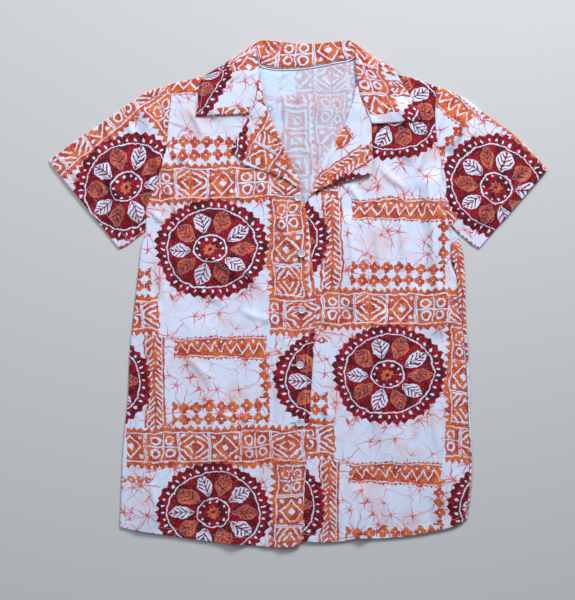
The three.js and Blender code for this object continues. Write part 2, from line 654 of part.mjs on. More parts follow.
const shirt = new THREE.Group();
shirt.add(
  buildBack(),
  buildFrontLeft(),
  buildFrontRight(),
  buildSleeve('sleeve_right', {
    armhole: offsetLine(RIGHT_ARMHOLE, SEAM_CUT),
    cuff: RIGHT_SLEEVE_CUFF,
    top: RIGHT_SLEEVE_TOP,
    underarm: RIGHT_UNDERARM,
  }),
  buildSleeve('sleeve_left', {
    armhole: offsetLine(LEFT_ARMHOLE, -SEAM_CUT),
    cuff: LEFT_SLEEVE_CUFF,
    top: LEFT_SLEEVE_TOP,
    underarm: LEFT_UNDERARM,
  }),
  buildLapel('facing_right', {
    roll: RIGHT_ROLL,
    gorge: RIGHT_LAPEL_GORGE,
    edge: RIGHT_LAPEL_EDGE,
    mid: rightFrontMid,
    lift: RIGHT_LAPEL_LIFT,
    inward: -1,
  }),
  buildLapel('facing_left', {
    roll: LEFT_ROLL,
    gorge: LEFT_LAPEL_GORGE,
    edge: LEFT_LAPEL_EDGE,
    mid: frontMid,
    lift: LEFT_LAPEL_LIFT,
    inward: 1,
  }),
  buildCollar(),
);
BUTTONS.forEach(([x, y], k) => shirt.add(buildButton(k + 1, x, y)));

const centre = new THREE.Box3().setFromObject(shirt).getCenter(new THREE.Vector3());
shirt.position.set(-centre.x, -centre.y, 0);

export default shirt;
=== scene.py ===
# %% [markdown]
# # Hawaiian shirt, laid flat on its back
#
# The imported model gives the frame: metres, +X to the right, +Y towards the collar, +Z up.
# Right and left in the names are the wearer's, so the right half lies at -X.
# Shapes are drawn in millimetres and moved into the frame by one shift.

# %% Load the frame
import math

import bpy
import numpy as np
from mathutils import Matrix, Vector


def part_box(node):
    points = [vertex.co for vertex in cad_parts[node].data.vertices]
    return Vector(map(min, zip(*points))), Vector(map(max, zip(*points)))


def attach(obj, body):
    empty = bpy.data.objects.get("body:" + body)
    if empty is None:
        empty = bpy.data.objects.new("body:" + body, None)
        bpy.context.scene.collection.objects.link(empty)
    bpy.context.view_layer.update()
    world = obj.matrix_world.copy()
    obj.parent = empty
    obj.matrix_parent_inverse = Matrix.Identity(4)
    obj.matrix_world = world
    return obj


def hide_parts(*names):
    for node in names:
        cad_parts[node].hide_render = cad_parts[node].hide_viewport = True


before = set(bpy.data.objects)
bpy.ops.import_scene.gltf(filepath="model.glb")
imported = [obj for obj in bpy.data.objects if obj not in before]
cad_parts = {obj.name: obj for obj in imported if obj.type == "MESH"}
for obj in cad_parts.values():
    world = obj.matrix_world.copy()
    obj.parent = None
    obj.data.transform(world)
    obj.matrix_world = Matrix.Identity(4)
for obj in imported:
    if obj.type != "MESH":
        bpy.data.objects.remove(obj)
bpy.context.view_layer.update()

# %% [markdown]
# ## Driving sizes
#
# Lengths and heights are millimetres, and a height is that of the middle of a cloth layer.
# What ends in GAIN, CALM or SIDE is a plain factor.

# %% Sizes
MM = 0.001
PLY = 0.5
TURNED_PLY = 0.6
BACK_HEIGHT = 0.32
FRONT_HEIGHT = 2.0
LAYER = 1.5
EDGE_STEPS = (0.0, 0.15, 0.4, 1.0, 2.4, 4.5, 7.0, 9.4, 10.4, 11.0, 11.7, 13.0, 16.0, 18.0, 20.0)
HEM_STITCH = 11.0
CUFF_STITCH = 18.0
FRONT_STITCH = 11.0
OVERLAP_START = -38.0
OVERLAP_END = -22.0
OVERLAP_RISE = 2.4
FRONT_LOFT = 1.1
HALF_WIDTH_AT_HEM = 268.0
HALF_WIDTH_AT_ARMHOLE = 236.0
HEM_LEVEL = -354.0
ARMHOLE_LEVEL = 96.0
SIDE_FADE = 26.0
SHOULDER_FADE = 18.0
NECK_LIFT_START = 258.0
NECK_LIFT_END = 280.0
NECK_LIFT_HALF_WIDTH = 142.0
NECK_LIFT_REACH = 168.0
ROLL_HEIGHT = 2.8
ROLL_INSET = 2.8
STEEP_SIDE = 0.55
PUCKER = 0.4
FOLD_GAIN = 1.7
CREASE_GAIN = 2.9
PLACKET_MIDDLE = 5.0
PLACKET_FADE = (12.0, 40.0)
PLACKET_CALM = 0.7
NECK_FOLD_GAIN = 1.5
NECK_WAVES_FROM = 200.0
NECK_TUCK = 3.2
NECK_DIP = 0.45
NECK_DIP_FADE = (1.0, 8.0)
ARMHOLE_TUCK = 1.4
ARMHOLE_DIP = 0.5
ARMHOLE_FADE = 7.0
EDGE_CURL = 1.2
EDGE_CURL_WIDTH = 9.0
EDGE_CURL_FADE = (95.0, 120.0)
NOISE_TABLE = 64
UNDER_LAYER_MOVE = 210.0
REST_GAP = 0.04

# Uneven cloth: height of a bump, its width, the scale on Y that draws it out, and the seed.
RUMPLES = ((0.5, 30.0, 0.5, 3), (0.3, 12.0, 0.4, 4))
NECK_WAVES = ((0.35, 15.0, 0.25, 5),)
LAPEL_WAVES = ((0.5, 22.0, 1.0, 21),)
COLLAR_WAVES = ((0.3, 18.0, 1.0, 31), (0.15, 8.0, 1.0, 32))

# Where each piece was cut from the printed cloth: turn in degrees, then move in mm.
PRINT_CUTS = {
    "front_right": (0.6, 222.0, 30.0), "front_left": (-0.8, -48.0, 220.0),
    "back": (0.5, 268.0, -130.0), "collar": (0.0, -58.0, 178.0),
    "sleeve_right": (39.0, 190.0, -190.0), "sleeve_left": (-41.0, 150.0, -20.0),
    "facing_right": (58.0, 30.0, 40.0), "facing_left": (-52.0, 260.0, 150.0),
}
print("layer rise:", LAYER, "mm")

# %% [markdown]
# ## Outlines
#
# Each table holds points [x, y] on an edge or a seam of the shirt as it lies.

# %% Tables of the body
RIGHT_SIDE = [
    (-269.8, -354.2), (-268.3, -313), (-266.8, -270), (-263.7, -216), (-257.6, -161),
    (-254.6, -88), (-247, -15), (-240.9, 39.5), (-236.4, 76), (-230.3, 95.8),
]
RIGHT_ARMHOLE = [
    (-230.3, 95.8), (-230.3, 123), (-227.2, 138.3), (-215.1, 164.2), (-204.4, 200.6),
    (-199.9, 217.4), (-197.1, 248.4), (-195.3, 267.5), (-192.3, 293.4), (-190.8, 319.2),
]
LEFT_SIDE_FOLD = [
    (257.6, -343.5), (263, -307), (265.2, -252), (263, -197.6), (261.4, -143),
    (259.2, -88), (255.4, -24), (254.6, 21.3), (251.6, 57.8), (247.5, 80),
]
LEFT_SIDE_SEAM = [
    (253.6, -344.5), (259, -307), (261, -252), (259.2, -197.6), (257.4, -143), (254.2, -88),
    (248.5, -36.5), (244, -22), (240.9, 25.8), (233.3, 46), (231.8, 77.5), (229.5, 106.4),
]
LEFT_ARMHOLE = [
    (229.5, 106.4), (227.2, 115.5), (222.5, 135.3), (225.7, 155), (225.7, 170.2), (223.6, 182.4),
    (219.3, 194), (213.6, 226.5), (209.5, 252), (209, 279.7), (210.2, 301), (212, 314.6),
]
RIGHT_SHOULDER = [
    (-190.8, 319.2), (-166.4, 325.3), (-145.2, 329.6), (-123.9, 331.8), (-102.6, 340), (-68, 352),
]
LEFT_SHOULDER = [
    (88.9, 352.6), (110.2, 343.5), (131.5, 337.2), (152.8, 332.4), (174, 328), (212, 314.6),
]
BACK_NECKLINE = [
    (-68, 352), (-60, 343.5), (-37.2, 339.6), (0.8, 339.6), (34.2, 344.4), (64.6, 350.8), (88.9, 352.6),
]
RIGHT_FRONT_EDGE = [
    (6.8, -373.2), (9.3, -324), (13.8, -252), (18.1, -207), (21, -140), (24, -96), (28.1, -18),
    (25.1, 20), (20.5, 67), (17.5, 97), (14.4, 120), (8.4, 138.3), (6, 152),
]
RIGHT_ROLL = [(6, 158), (-0.8, 177.8), (-19, 218.9), (-37.2, 256.9), (-47.9, 281.2), (-57.6, 323.6)]
LEFT_FRONT_EDGE = [
    (-16, -373.9), (-16, -252), (-16, -140), (-16, -18), (-16, 67), (-12, 103), (2, 128), (14, 140),
]
LEFT_ROLL = [
    (17, 148), (24.5, 161), (33.6, 188.5), (55.5, 228), (69.2, 250.8), (82.8, 287.3), (88.9, 314),
]
RIGHT_HEM = [
    (-269.8, -354.2), (-239.4, -360.2), (-193.8, -367.1), (-146.7, -373.9), (-108.7, -378.5),
    (-75.2, -381.5), (-34.2, -384.6), (-10.5, -383.6), (2, -380), (6.8, -373.2),
]
LEFT_HEM = [
    (-16, -373.9), (6.8, -374.7), (22, -376.7), (64.6, -376), (88.9, -371.4), (131.5, -370.9),
    (174, -366.3), (216.6, -358.5), (237.9, -352), (253.6, -344.5),
]
BACK_HEM = [
    (-268.4, -352.2), (-193.8, -365.2), (-108.7, -376.6), (-34.2, -382.6), (22, -375),
    (88.9, -369.4), (174, -364.4), (216.6, -356.5), (257, -342.5),
]

# %% Tables of sleeves and lapels
RIGHT_SLEEVE_TOP = [
    (-191.4, 318.9), (-209, 313.1), (-230.3, 305.5), (-251.6, 291.8),
    (-294.1, 261.4), (-336.7, 232.6), (-377.7, 202),
]
RIGHT_SLEEVE_CUFF = [(-270.4, 68.9), (-377.7, 202)]
RIGHT_UNDERARM = [(-231, 96.6), (-259.2, 74.8), (-270.4, 68.9)]
LEFT_SLEEVE_TOP = [
    (212.6, 314.3), (237.9, 305.5), (259.2, 293.4), (280.4, 276.6),
    (323, 246.2), (344.3, 226.5), (365.6, 204), (379.2, 188.5),
]
LEFT_SLEEVE_CUFF = [(275.4, 68.9), (379.2, 188.5)]
LEFT_UNDERARM = [(230.4, 107.4), (246.8, 91.2), (264, 76.5), (275.4, 68.9)]
RIGHT_LAPEL_GORGE = [(-57.6, 323.6), (-62.1, 297.6), (-69.8, 270.4)]
RIGHT_LAPEL_EDGE = [
    (-69.8, 270.4), (-79.8, 256.9), (-88.9, 243), (-101.1, 218.9),
    (-79.8, 196.1), (-40.3, 182.9), (-16, 173), (-2, 162.5),
]
LEFT_LAPEL_GORGE = [(88.9, 313.4), (97.4, 291.1), (108.2, 267.5), (112, 256.2)]
LEFT_LAPEL_EDGE = [
    (112, 256.2), (113, 218.9), (113.2, 183), (108.7, 180.1), (73.7, 171.8), (44, 164), (23, 153.5),
]
BUTTONS = [(0.6, 146.2), (6.2, 60.8), (6.8, -24.3), (3.8, -107.9), (2.7, -195.2)]
print("front edge runs over", len(RIGHT_FRONT_EDGE), "points, with", len(BUTTONS), "buttons")

# %% [markdown]
# ## Collar sections
#
# The collar is drawn by sections from the right end, round the neck, to the left end.
# A row gives the neck seam, the roll and the outer edge as [x, y, z] and which way the leaf
# lies there: 1 on top of the fronts, -1 under the back.

# %% Table of the collar
COLLAR = [
    ((-72.2, 272.8, 6.2), (-75.4, 272.4, 6.4), (-154.3, 269, 3.7), 1),
    ((-67.2, 286, 6.4), (-70.6, 286.6, 6.7), (-152.6, 284, 3.8), 1),
    ((-62.6, 302, 6.8), (-66, 303, 7.2), (-150.6, 301, 4.2), 1),
    ((-60.4, 318, 7), (-61.4, 321, 7.4), (-149, 315, 5.2), 1),
    ((-66.5, 332, 5.2), (-59.4, 334, 7), (-146.5, 324, 6), 1),
    ((-68.5, 344, 5.2), (-61, 350, 6.6), (-141, 329.5, 6.6), 1),
    ((-66.6, 357, 4.6), (-63, 364, 5.8), (-136, 334, 5.7), 0.6),
    ((-63.6, 359.5, 3.6), (-63.6, 378, 4), (-131, 336.8, 3.6), 0),
    ((-60.5, 354, 2.6), (-58, 383.6, 2.8), (-126, 335.4, 1.5), -0.6),
    ((-55, 346.2, 2.1), (-45, 384.6, 2.2), (-118, 329, 0.6), -1),
    ((-36, 341.6, 2.1), (-26, 383, 2.2), (-80, 312, 0.6), -1),
    ((-6, 341.4, 2.1), (-2, 379.8, 2.2), (-18, 305, 0.6), -1),
    ((26, 344.9, 2.1), (24, 379.9, 2.2), (46, 307, 0.6), -1),
    ((56, 351, 2.1), (50, 381.6, 2.2), (94, 317, 0.6), -1),
    ((77, 354.4, 2.1), (70, 384.2, 2.2), (130, 334.2, 0.6), -1),
    ((83, 357.6, 2.6), (79.6, 384.4, 2.8), (136.5, 340.2, 1.5), -0.6),
    ((87, 360.4, 3.6), (85.6, 379, 4), (141.5, 344.2, 3.6), 0),
    ((90, 358, 4.6), (88, 368, 5.8), (146, 342.4, 5.7), 0.6),
    ((95, 346, 5.2), (88.8, 354, 6.6), (149.4, 336, 6.6), 1),
    ((97, 332, 5.2), (89.6, 337, 7), (155, 326.4, 6), 1),
    ((91.4, 317.4, 7), (92, 320, 7.4), (161, 316, 5.2), 1),
    ((94.4, 302, 6.8), (97.6, 301.4, 7.2), (170, 302, 4.2), 1),
    ((100, 288, 6.4), (103.2, 287.2, 6.7), (178, 288, 3.8), 1),
    ((106.2, 273.4, 6.2), (109.4, 272.6, 6.4), (185.4, 274.4, 3.8), 1),
    ((112.8, 258.6, 6), (116, 258, 6.2), (190.8, 262, 3.7), 1),
]
print("collar sections:", len(COLLAR))

# %% [markdown]
# ## Folds and creases
#
# Cotton that was worn and laid down by hand keeps air under it and shows folds of many
# lengths. Each is placed one by one, so that no two are alike. A cloth simulation would give
# folds of one size everywhere, so it isn't used here.

# %% Broad folds: from x, from y, to x, to y, half width, height
BROAD_FOLDS = [
    (-160, 50, -78, 38, 26, 2.6), (-52, 122, -46, 20, 9, -1.6), (-22, 108, -2, 62, 13, 1.5),
    (-95, -190, -98, -380, 14, 2.0), (-66, -250, -70, -380, 9, -1.4),
    (-216, -40, -228, -330, 24, 2.2), (-150, -60, -128, -220, 26, 1.8),
    (-247, 292, -226, 250, 10, 2.8), (-300, 205, -262, 128, 16, 2.4), (-226, 236, -200, 192, 8, 1.8),
    (160, 276, 170, 220, 18, 2.4), (203, 168, 214, -52, 14, 3.4), (76, 110, 82, -14, 12, 1.9),
    (182, 150, 188, 20, 12, -1.4), (214, -90, 226, -300, 22, 2.3), (95, -300, 98, -376, 10, 2.0),
    (120, -60, 150, -240, 26, 1.9), (248, 284, 233, 226, 10, 3.2), (318, 196, 280, 116, 16, 2.4),
]
NECK_FOLDS = [(8, 300, 16, 215, 7, 0.9), (44, 318, 32, 212, 8, 1.1), (-22, 300, -8, 235, 7, 0.8)]

# %% Small creases: from x, from y, to x, to y, bow, half width, height
SMALL_CREASES = [
    (-150, 60, -92, 22, 6, 6, 1.5), (-128, 78, -60, 52, -5, 5, 1.0), (-96, 46, -60, 8, 4, 5, 1.2),
    (-52, 118, -46, 12, 3, 4, -1.3), (-60, 96, -38, 60, -3, 4, 0.9), (-30, 118, -14, 66, 3, 5, 1.1),
    (-190, 88, -150, 40, 5, 6, 0.9), (-214, 70, -196, -20, -5, 6, 1.0),
    (-172, 10, -110, -22, 6, 7, 1.0), (-236, 30, -222, -96, 4, 5, 1.3),
    (-92, -20, -30, -42, -5, 6, 0.8), (-66, 20, -58, -120, 4, 6, -0.8),
    (-180, -90, -128, -150, 8, 7, 0.9), (-246, -110, -236, -250, -4, 5, 1.3),
    (-40, -70, -30, -190, 3, 6, 0.8), (-95, -200, -99, -372, 2, 5, 1.1),
    (-84, -232, -86, -376, -2, 4, -0.9), (-70, -214, -74, -378, 2, 4, 1.1),
    (-150, -200, -140, -330, -5, 6, 1.0), (-196, -180, -176, -300, 6, 7, 0.9),
    (-228, -270, -214, -356, 3, 5, 1.1), (-122, -250, -118, -374, 2, 4, 0.9),
    (-176, -318, -172, -368, 1, 4, 1.2), (-44, -296, -40, -380, 2, 5, 1.2),
    (-18, -240, -12, -340, -2, 5, 0.9), (-206, 214, -150, 180, 8, 6, 0.9),
    (-186, 150, -128, 120, 5, 7, 0.8), (-118, 168, -70, 138, -4, 6, 0.8),
    (-104, 200, -86, 150, 4, 5, 1.0), (-170, 286, -140, 220, 5, 7, 1.0),
    (-140, 300, -116, 262, -3, 5, 0.9), (-205, 180, -186, 118, 3, 5, 1.2),
    (-222, 128, -196, 108, -4, 5, 1.1), (-70, 178, -40, 140, 4, 5, 0.9),
    (-8, 140, 4, 112, 1, 4, 0.8), (-24, 20, 8, -4, 2, 5, 0.7), (-28, -60, 4, -92, -3, 5, 0.7),
    (-30, -150, 2, -176, 2, 5, 0.8), (-34, 52, 2, 88, -2, 4, 0.7), (76, 112, 84, -8, 4, 5, 1.4),
    (60, 128, 66, 60, -2, 4, 0.9), (96, 92, 108, 4, 3, 5, 0.9), (120, 120, 128, 30, -4, 5, 1.1),
    (150, 140, 160, 30, 3, 5, 1.2), (182, 160, 190, 30, -3, 5, -1.2), (196, 172, 206, 10, 3, 4, 1.7),
    (214, 150, 219, 30, -2, 4, 1.5), (206, 40, 222, -60, 3, 6, 1.3), (224, 20, 240, -80, -3, 5, 1.2),
    (172, 20, 196, -80, 6, 7, 1.0), (140, -20, 110, -80, -5, 7, 0.9),
    (236, -120, 244, -230, 3, 5, 1.2), (206, -140, 216, -250, -4, 7, 1.0),
    (168, -110, 176, -220, 5, 7, 0.9), (108, -110, 126, -230, -5, 7, 1.0),
    (60, -60, 72, -180, 3, 6, 0.8), (40, -100, 46, -230, -3, 5, 0.9),
    (95, -292, 99, -374, 1, 4, 1.1), (108, -310, 112, -372, -1, 4, -1.0),
    (84, -318, 84, -374, 1, 4, 1.0), (60, -270, 64, -374, 2, 5, 1.1),
    (134, -280, 140, -368, -2, 5, 1.1), (168, -260, 176, -364, 3, 6, 1.1),
    (206, -270, 210, -356, -2, 5, 1.3), (238, -260, 242, -346, 2, 5, 1.2),
    (30, -250, 34, -372, -2, 5, 1.0), (150, 292, 168, 228, 5, 5, 1.5),
    (176, 300, 186, 240, -3, 5, 1.1), (130, 226, 176, 196, 6, 6, 1.0),
    (120, 200, 168, 158, -5, 6, 1.0), (196, 232, 178, 180, 3, 5, 1.0), (70, 168, 96, 132, 4, 5, 0.9),
    (40, 150, 60, 100, 3, 5, 0.8), (196, 290, 204, 214, -3, 5, 1.2), (22, 60, 60, 24, 5, 6, 0.8),
    (26, -20, 58, -44, -4, 6, 0.7), (28, -170, 56, -198, 4, 6, 0.8),
]
SLEEVE_CREASES = [
    (-248, 294, -222, 246, 5, 5, 1.8), (-232, 296, -206, 252, -4, 4, 1.0),
    (-270, 268, -240, 216, 5, 5, 1.1), (-296, 206, -258, 128, -6, 6, 1.6),
    (-316, 190, -286, 124, 5, 5, 1.0), (-330, 216, -310, 176, 3, 5, 1.0),
    (-284, 240, -262, 190, 4, 6, 0.9), (-214, 216, -206, 170, -3, 4, 1.4),
    (-224, 186, -232, 134, 3, 4, 1.2), (-250, 150, -246, 104, 3, 4, 1.1),
    (-268, 120, -256, 88, -2, 4, 0.9), (-350, 202, -330, 160, 3, 5, 0.8),
    (-236, 230, -262, 168, -5, 6, 1.0), (-300, 262, -284, 230, 2, 5, 0.9),
    (250, 286, 232, 222, 5, 5, 2.0), (232, 292, 218, 244, -3, 4, 1.3),
    (268, 268, 248, 206, 5, 5, 1.1), (316, 196, 278, 116, -6, 6, 1.7),
    (334, 176, 300, 108, 4, 5, 1.0), (344, 208, 326, 172, 3, 5, 0.9),
    (292, 238, 268, 180, 5, 6, 1.0), (226, 214, 222, 168, -3, 4, 1.5),
    (240, 196, 246, 140, 3, 4, 1.2), (254, 150, 258, 104, -3, 4, 1.1),
    (232, 150, 240, 116, 2, 4, 1.2), (310, 250, 292, 214, 3, 5, 0.8), (276, 128, 268, 92, 2, 4, 0.9),
]
print("folds:", len(BROAD_FOLDS) + len(NECK_FOLDS), "creases:", len(SMALL_CREASES) + len(SLEEVE_CREASES))

# %% [markdown]
# ## Curves and patches
#
# A panel is a four-sided patch between boundary curves, as a paper pattern is drawn.
# Its rows run from the hem to the shoulder and its columns from side to side, and more lines
# are laid close to the edges, where cloth is turned in and stitched.

# %% Soft curves through tables
CURVE_STEPS = 24
SHORT_CURVE_STEPS = 8
MERGE_DISTANCE = 1.2
TOLERANCE = 1e-6


def with_ends(points):
    """The points and one more at each end, so that a curve through them has a slope there."""
    return np.vstack([2 * points[0] - points[1], points, 2 * points[-1] - points[-2]])


def hermite(share, start, leave, end, arrive):
    """The place at a share of a curve, from both its ends and the slopes there."""
    return (
        (2 * share**3 - 3 * share**2 + 1) * start
        + (share**3 - 2 * share**2 + share) * leave
        + (3 * share**2 - 2 * share**3) * end
        + (share**3 - share**2) * arrive
    )


def smooth_line(*tables):
    """Points close together along a soft curve through the points of the tables."""
    points = []
    for place in [place for table in tables for place in table]:
        if not points or math.dist(points[-1], place) > MERGE_DISTANCE:
            points.append(tuple(place))
    points = np.array(points, float)
    line = with_ends(points)
    share = np.linspace(0, 1, CURVE_STEPS, endpoint=False)[:, None]
    parts = []
    for before, start, end, after in zip(line, line[1:], line[2:], line[3:]):
        first, middle, last = (
            math.sqrt(math.dist(a, b)) for a, b in ((before, start), (start, end), (end, after))
        )
        shared = (end - start) / middle
        leave = ((start - before) / first - (end - before) / (first + middle) + shared) * middle
        arrive = (shared - (after - start) / (middle + last) + (after - end) / last) * middle
        parts.append(hermite(share, start, leave, end, arrive))
    return np.vstack([*parts, points[-1:]])


def short_curve(points):
    """A soft curve through every point of a short line in space."""
    line = with_ends(points)
    share = np.linspace(0, 1, SHORT_CURVE_STEPS, endpoint=False)[:, None]
    parts = []
    for before, start, end, after in zip(line, line[1:], line[2:], line[3:]):
        parts.append(hermite(share, start, (end - before) / 2, end, (after - start) / 2))
    return np.vstack([*parts, points[-1:]])


def line_length(line):
    return np.linalg.norm(np.diff(line, axis=0), axis=1).sum()


def along(line, shares):
    """Points at the given shares of a line's length."""
    steps = np.linalg.norm(np.diff(line, axis=0), axis=1)
    place = np.concatenate([[0], np.cumsum(steps)]) / steps.sum()
    return np.stack([np.interp(shares, place, axis) for axis in line.T], axis=1)


def boundary(shares, *stretches):
    """Points at shares of a boundary made of stretches, each a line and its part of the whole."""
    points = np.zeros((len(shares), 2))
    start = 0.0
    for line, part in stretches:
        local = (shares - start) / part
        inside = (local > -TOLERANCE) & (local < 1 + TOLERANCE)
        points[inside] = along(line, np.clip(local[inside], 0, 1))
        start += part
    return points


def patch(rows, columns, left, right, bottom, top):
    """The grid of points inside four boundaries."""
    v = rows[:, None, None]
    u = columns[None, :, None]
    sides = left[:, None] * (1 - u) + right[:, None] * u
    ends = bottom[None] * (1 - v) + top[None] * v
    lower = left[0] * (1 - u) + right[0] * u
    upper = left[-1] * (1 - u) + right[-1] * u
    return sides + ends - lower * (1 - v) - upper * v


def lines_across(cells, length, start=False, end=False):
    """Shares for the lines of a grid: even ones, and close ones where an edge is sewn."""
    even = np.arange(cells + 1) / cells
    steps = np.array(EDGE_STEPS) / length
    kept = [even[(even > steps[-1] * start) & (even < 1 - steps[-1] * end)], [0.0, 1.0]]
    if start:
        kept.append(steps)
    if end:
        kept.append(1 - steps)
    return np.unique(np.round(np.concatenate(kept), 6))


def shifted(table, distance):
    """A line moved sideways, to its left for a positive distance."""
    points = np.array(table, float)
    ahead = np.vstack([points[1:], points[-1:]])
    behind = np.vstack([points[:1], points[:-1]])
    course = ahead - behind
    course /= np.linalg.norm(course, axis=1)[:, None]
    return points + distance * np.stack([-course[:, 1], course[:, 0]], axis=1)


print("right side seam in mm:", round(line_length(smooth_line(RIGHT_SIDE))))

# %% [markdown]
# ## Heights of the cloth
#
# Each layer lies on the one below, with some air between. The air dies out at the side seams
# and shoulders, the folds add to it, and the hidden half of the collar lifts what lies on it.

# %% Height of every layer
SAMPLE_STEP = 4.0


def ramp(value, start, end):
    """A soft step from 0 at start to 1 at end."""
    share = np.clip((value - start) / (end - start), 0, 1)
    return share * share * (3 - 2 * share)


def mix(first, second, share):
    """A value or place between two others."""
    return first * (1 - share) + second * share


def fold_height(folds, x, y):
    """Height of broad folds, each a soft ridge about a straight line."""
    height = np.zeros_like(x)
    for from_x, from_y, to_x, to_y, half_width, rise in folds:
        run_x, run_y = to_x - from_x, to_y - from_y
        share = ((x - from_x) * run_x + (y - from_y) * run_y) / (run_x**2 + run_y**2)
        held = np.clip(share, 0, 1)
        distance = np.hypot(x - from_x - held * run_x, y - from_y - held * run_y)
        height += rise * np.exp(-((distance / half_width) ** 2))
    return height


def crease_height(creases, x, y):
    """Height of small creases: bent, steeper on one side, and dying out at both ends."""
    height = np.zeros_like(x)
    for from_x, from_y, to_x, to_y, bow, half_width, rise in creases:
        run_x, run_y = to_x - from_x, to_y - from_y
        length = math.hypot(run_x, run_y)
        share = ((x - from_x) * run_x + (y - from_y) * run_y) / length**2
        sideways = ((y - from_y) * run_x - (x - from_x) * run_y) / length
        held = np.clip(share, 0, 1)
        sideways = sideways - bow * 4 * held * (1 - held)
        width = np.where(sideways > 0, half_width, half_width * STEEP_SIDE)
        height += rise * np.sin(math.pi * held) * np.exp(-((sideways / width) ** 2))
    return height


def soft_noise(x, y, size, seed):
    """Smooth random heights from -1 to 1, with bumps about size apart."""
    table = np.random.default_rng(seed).uniform(-1, 1, (NOISE_TABLE, NOISE_TABLE))
    place_x, place_y = x / size + NOISE_TABLE * 4, y / size + NOISE_TABLE * 4
    cell_x, cell_y = np.floor(place_x).astype(int), np.floor(place_y).astype(int)
    part_x, part_y = ramp(place_x - cell_x, 0, 1), ramp(place_y - cell_y, 0, 1)

    def corner(step_x, step_y):
        return table[(cell_x + step_x) % NOISE_TABLE, (cell_y + step_y) % NOISE_TABLE]

    low = mix(corner(0, 0), corner(1, 0), part_x)
    high = mix(corner(0, 1), corner(1, 1), part_x)
    return mix(low, high, part_y)


def waves(tables, x, y):
    """Uneven heights from a table of bumps."""
    return sum(
        height * soft_noise(x, y * scale, width, seed) for height, width, scale, seed in tables
    )


def side_fade(x, y):
    """1 on the body, and 0 at the side seams, where no air is left under the cloth."""
    share = np.clip((y - HEM_LEVEL) / (ARMHOLE_LEVEL - HEM_LEVEL), 0, 1)
    half_width = mix(HALF_WIDTH_AT_HEM, HALF_WIDTH_AT_ARMHOLE, share)
    below_sleeves = 1 - ramp(y, ARMHOLE_LEVEL, ARMHOLE_LEVEL + SIDE_FADE)
    return 1 - below_sleeves * ramp(np.abs(x), half_width - SIDE_FADE, half_width)


def shoulder_fade(x, y):
    """1 on the body, and 0 at the shoulders and along the top of the sleeves."""
    neck_y = RIGHT_SHOULDER[-1][1]
    armhole_x, armhole_y = RIGHT_SHOULDER[0]
    cuff_x, cuff_y = RIGHT_SLEEVE_TOP[-1]
    outward = np.abs(x)
    on_body = mix(neck_y, armhole_y, outward / -armhole_x)
    on_sleeve = mix(armhole_y, cuff_y, (outward + armhole_x) / (armhole_x - cuff_x))
    return ramp(np.minimum(on_body, on_sleeve) - y, 0, SHOULDER_FADE)


def loft(x, y):
    """Air between a front layer and what it lies on, with its folds and creases."""
    lively = 1 - PLACKET_CALM * (1 - ramp(np.abs(x - PLACKET_MIDDLE), *PLACKET_FADE))
    folds = FRONT_LOFT + fold_height(BROAD_FOLDS, x, y) * mix(1, FOLD_GAIN, lively)
    creases = crease_height(SMALL_CREASES, x, y) + crease_height(SLEEVE_CREASES, x, y)
    height = folds + (creases * CREASE_GAIN + waves(RUMPLES, x, y)) * lively
    return np.maximum(height, 0) * side_fade(x, y) * shoulder_fade(x, y)


def neck_lift(x, y):
    """What the hidden half of the collar adds under the cloth at the neck."""
    beside = 1 - ramp(np.abs(x), NECK_LIFT_HALF_WIDTH, NECK_LIFT_REACH)
    return LAYER * ramp(y, NECK_LIFT_START, NECK_LIFT_END) * beside


def left_front_height(x, y):
    return FRONT_HEIGHT + neck_lift(x, y) + loft(x, y)


def right_front_height(x, y):
    return left_front_height(x, y) + OVERLAP_RISE * ramp(x, OVERLAP_START, OVERLAP_END)


def back_height(x, y):
    uneven = waves(NECK_WAVES, x, y) * ramp(y, NECK_WAVES_FROM, NECK_LIFT_START)
    folds = fold_height(NECK_FOLDS, x, y) * NECK_FOLD_GAIN + uneven
    return BACK_HEIGHT + neck_lift(x, y) + np.maximum(folds, 0)


sample_x, sample_y = np.meshgrid(
    np.arange(-HALF_WIDTH_AT_HEM, HALF_WIDTH_AT_HEM, SAMPLE_STEP),
    np.arange(HEM_LEVEL, NECK_LIFT_END, SAMPLE_STEP),
)
print("highest fold in mm:", round(float(loft(sample_x, sample_y).max()), 1))

# %% [markdown]
# ## From a grid to a sewn piece
#
# A piece of cloth is a thin closed wall about its grid. It gets thicker where its edge is
# turned in, and it is rounded off at the very edge. Its UV map holds the place on the uncut
# cloth in metres, so that the print runs on round a fold and is cut off at a seam.

# %% Closed walls
RIGHT_SIDE_OUT = 0
WRONG_SIDE_OUT = 1
FACE_UP = (RIGHT_SIDE_OUT, WRONG_SIDE_OUT)
FACE_DOWN = (WRONG_SIDE_OUT, RIGHT_SIDE_OUT)
BOTH_RIGHT = (RIGHT_SIDE_OUT, RIGHT_SIDE_OUT)
NO_LENGTH = 1e-9
ROUNDING_REACH = 0.1
LEAST_FULLNESS = 0.15
TURN_STEP = (0.6, 2.2)
GROOVE_WIDTH = 0.8
GROOVE_DEPTH = 0.45


def add_piece(name, mesh):
    """An object for a mesh, at the origin of the scene."""
    piece = bpy.data.objects.new(name, mesh)
    bpy.context.scene.collection.objects.link(piece)
    return piece


def mesh_in_frame(name, points, edges, faces):
    """A mesh from points in mm, moved into the frame."""
    mesh = bpy.data.meshes.new(name)
    mesh.from_pydata(((np.array(points) + cloth_shift) * MM).tolist(), edges, faces)
    return mesh


def mesh_with_modifiers(piece):
    """A copy of a piece's mesh with its modifiers applied."""
    bpy.context.view_layer.update()
    evaluated = piece.evaluated_get(bpy.context.evaluated_depsgraph_get())
    return bpy.data.meshes.new_from_object(evaluated)


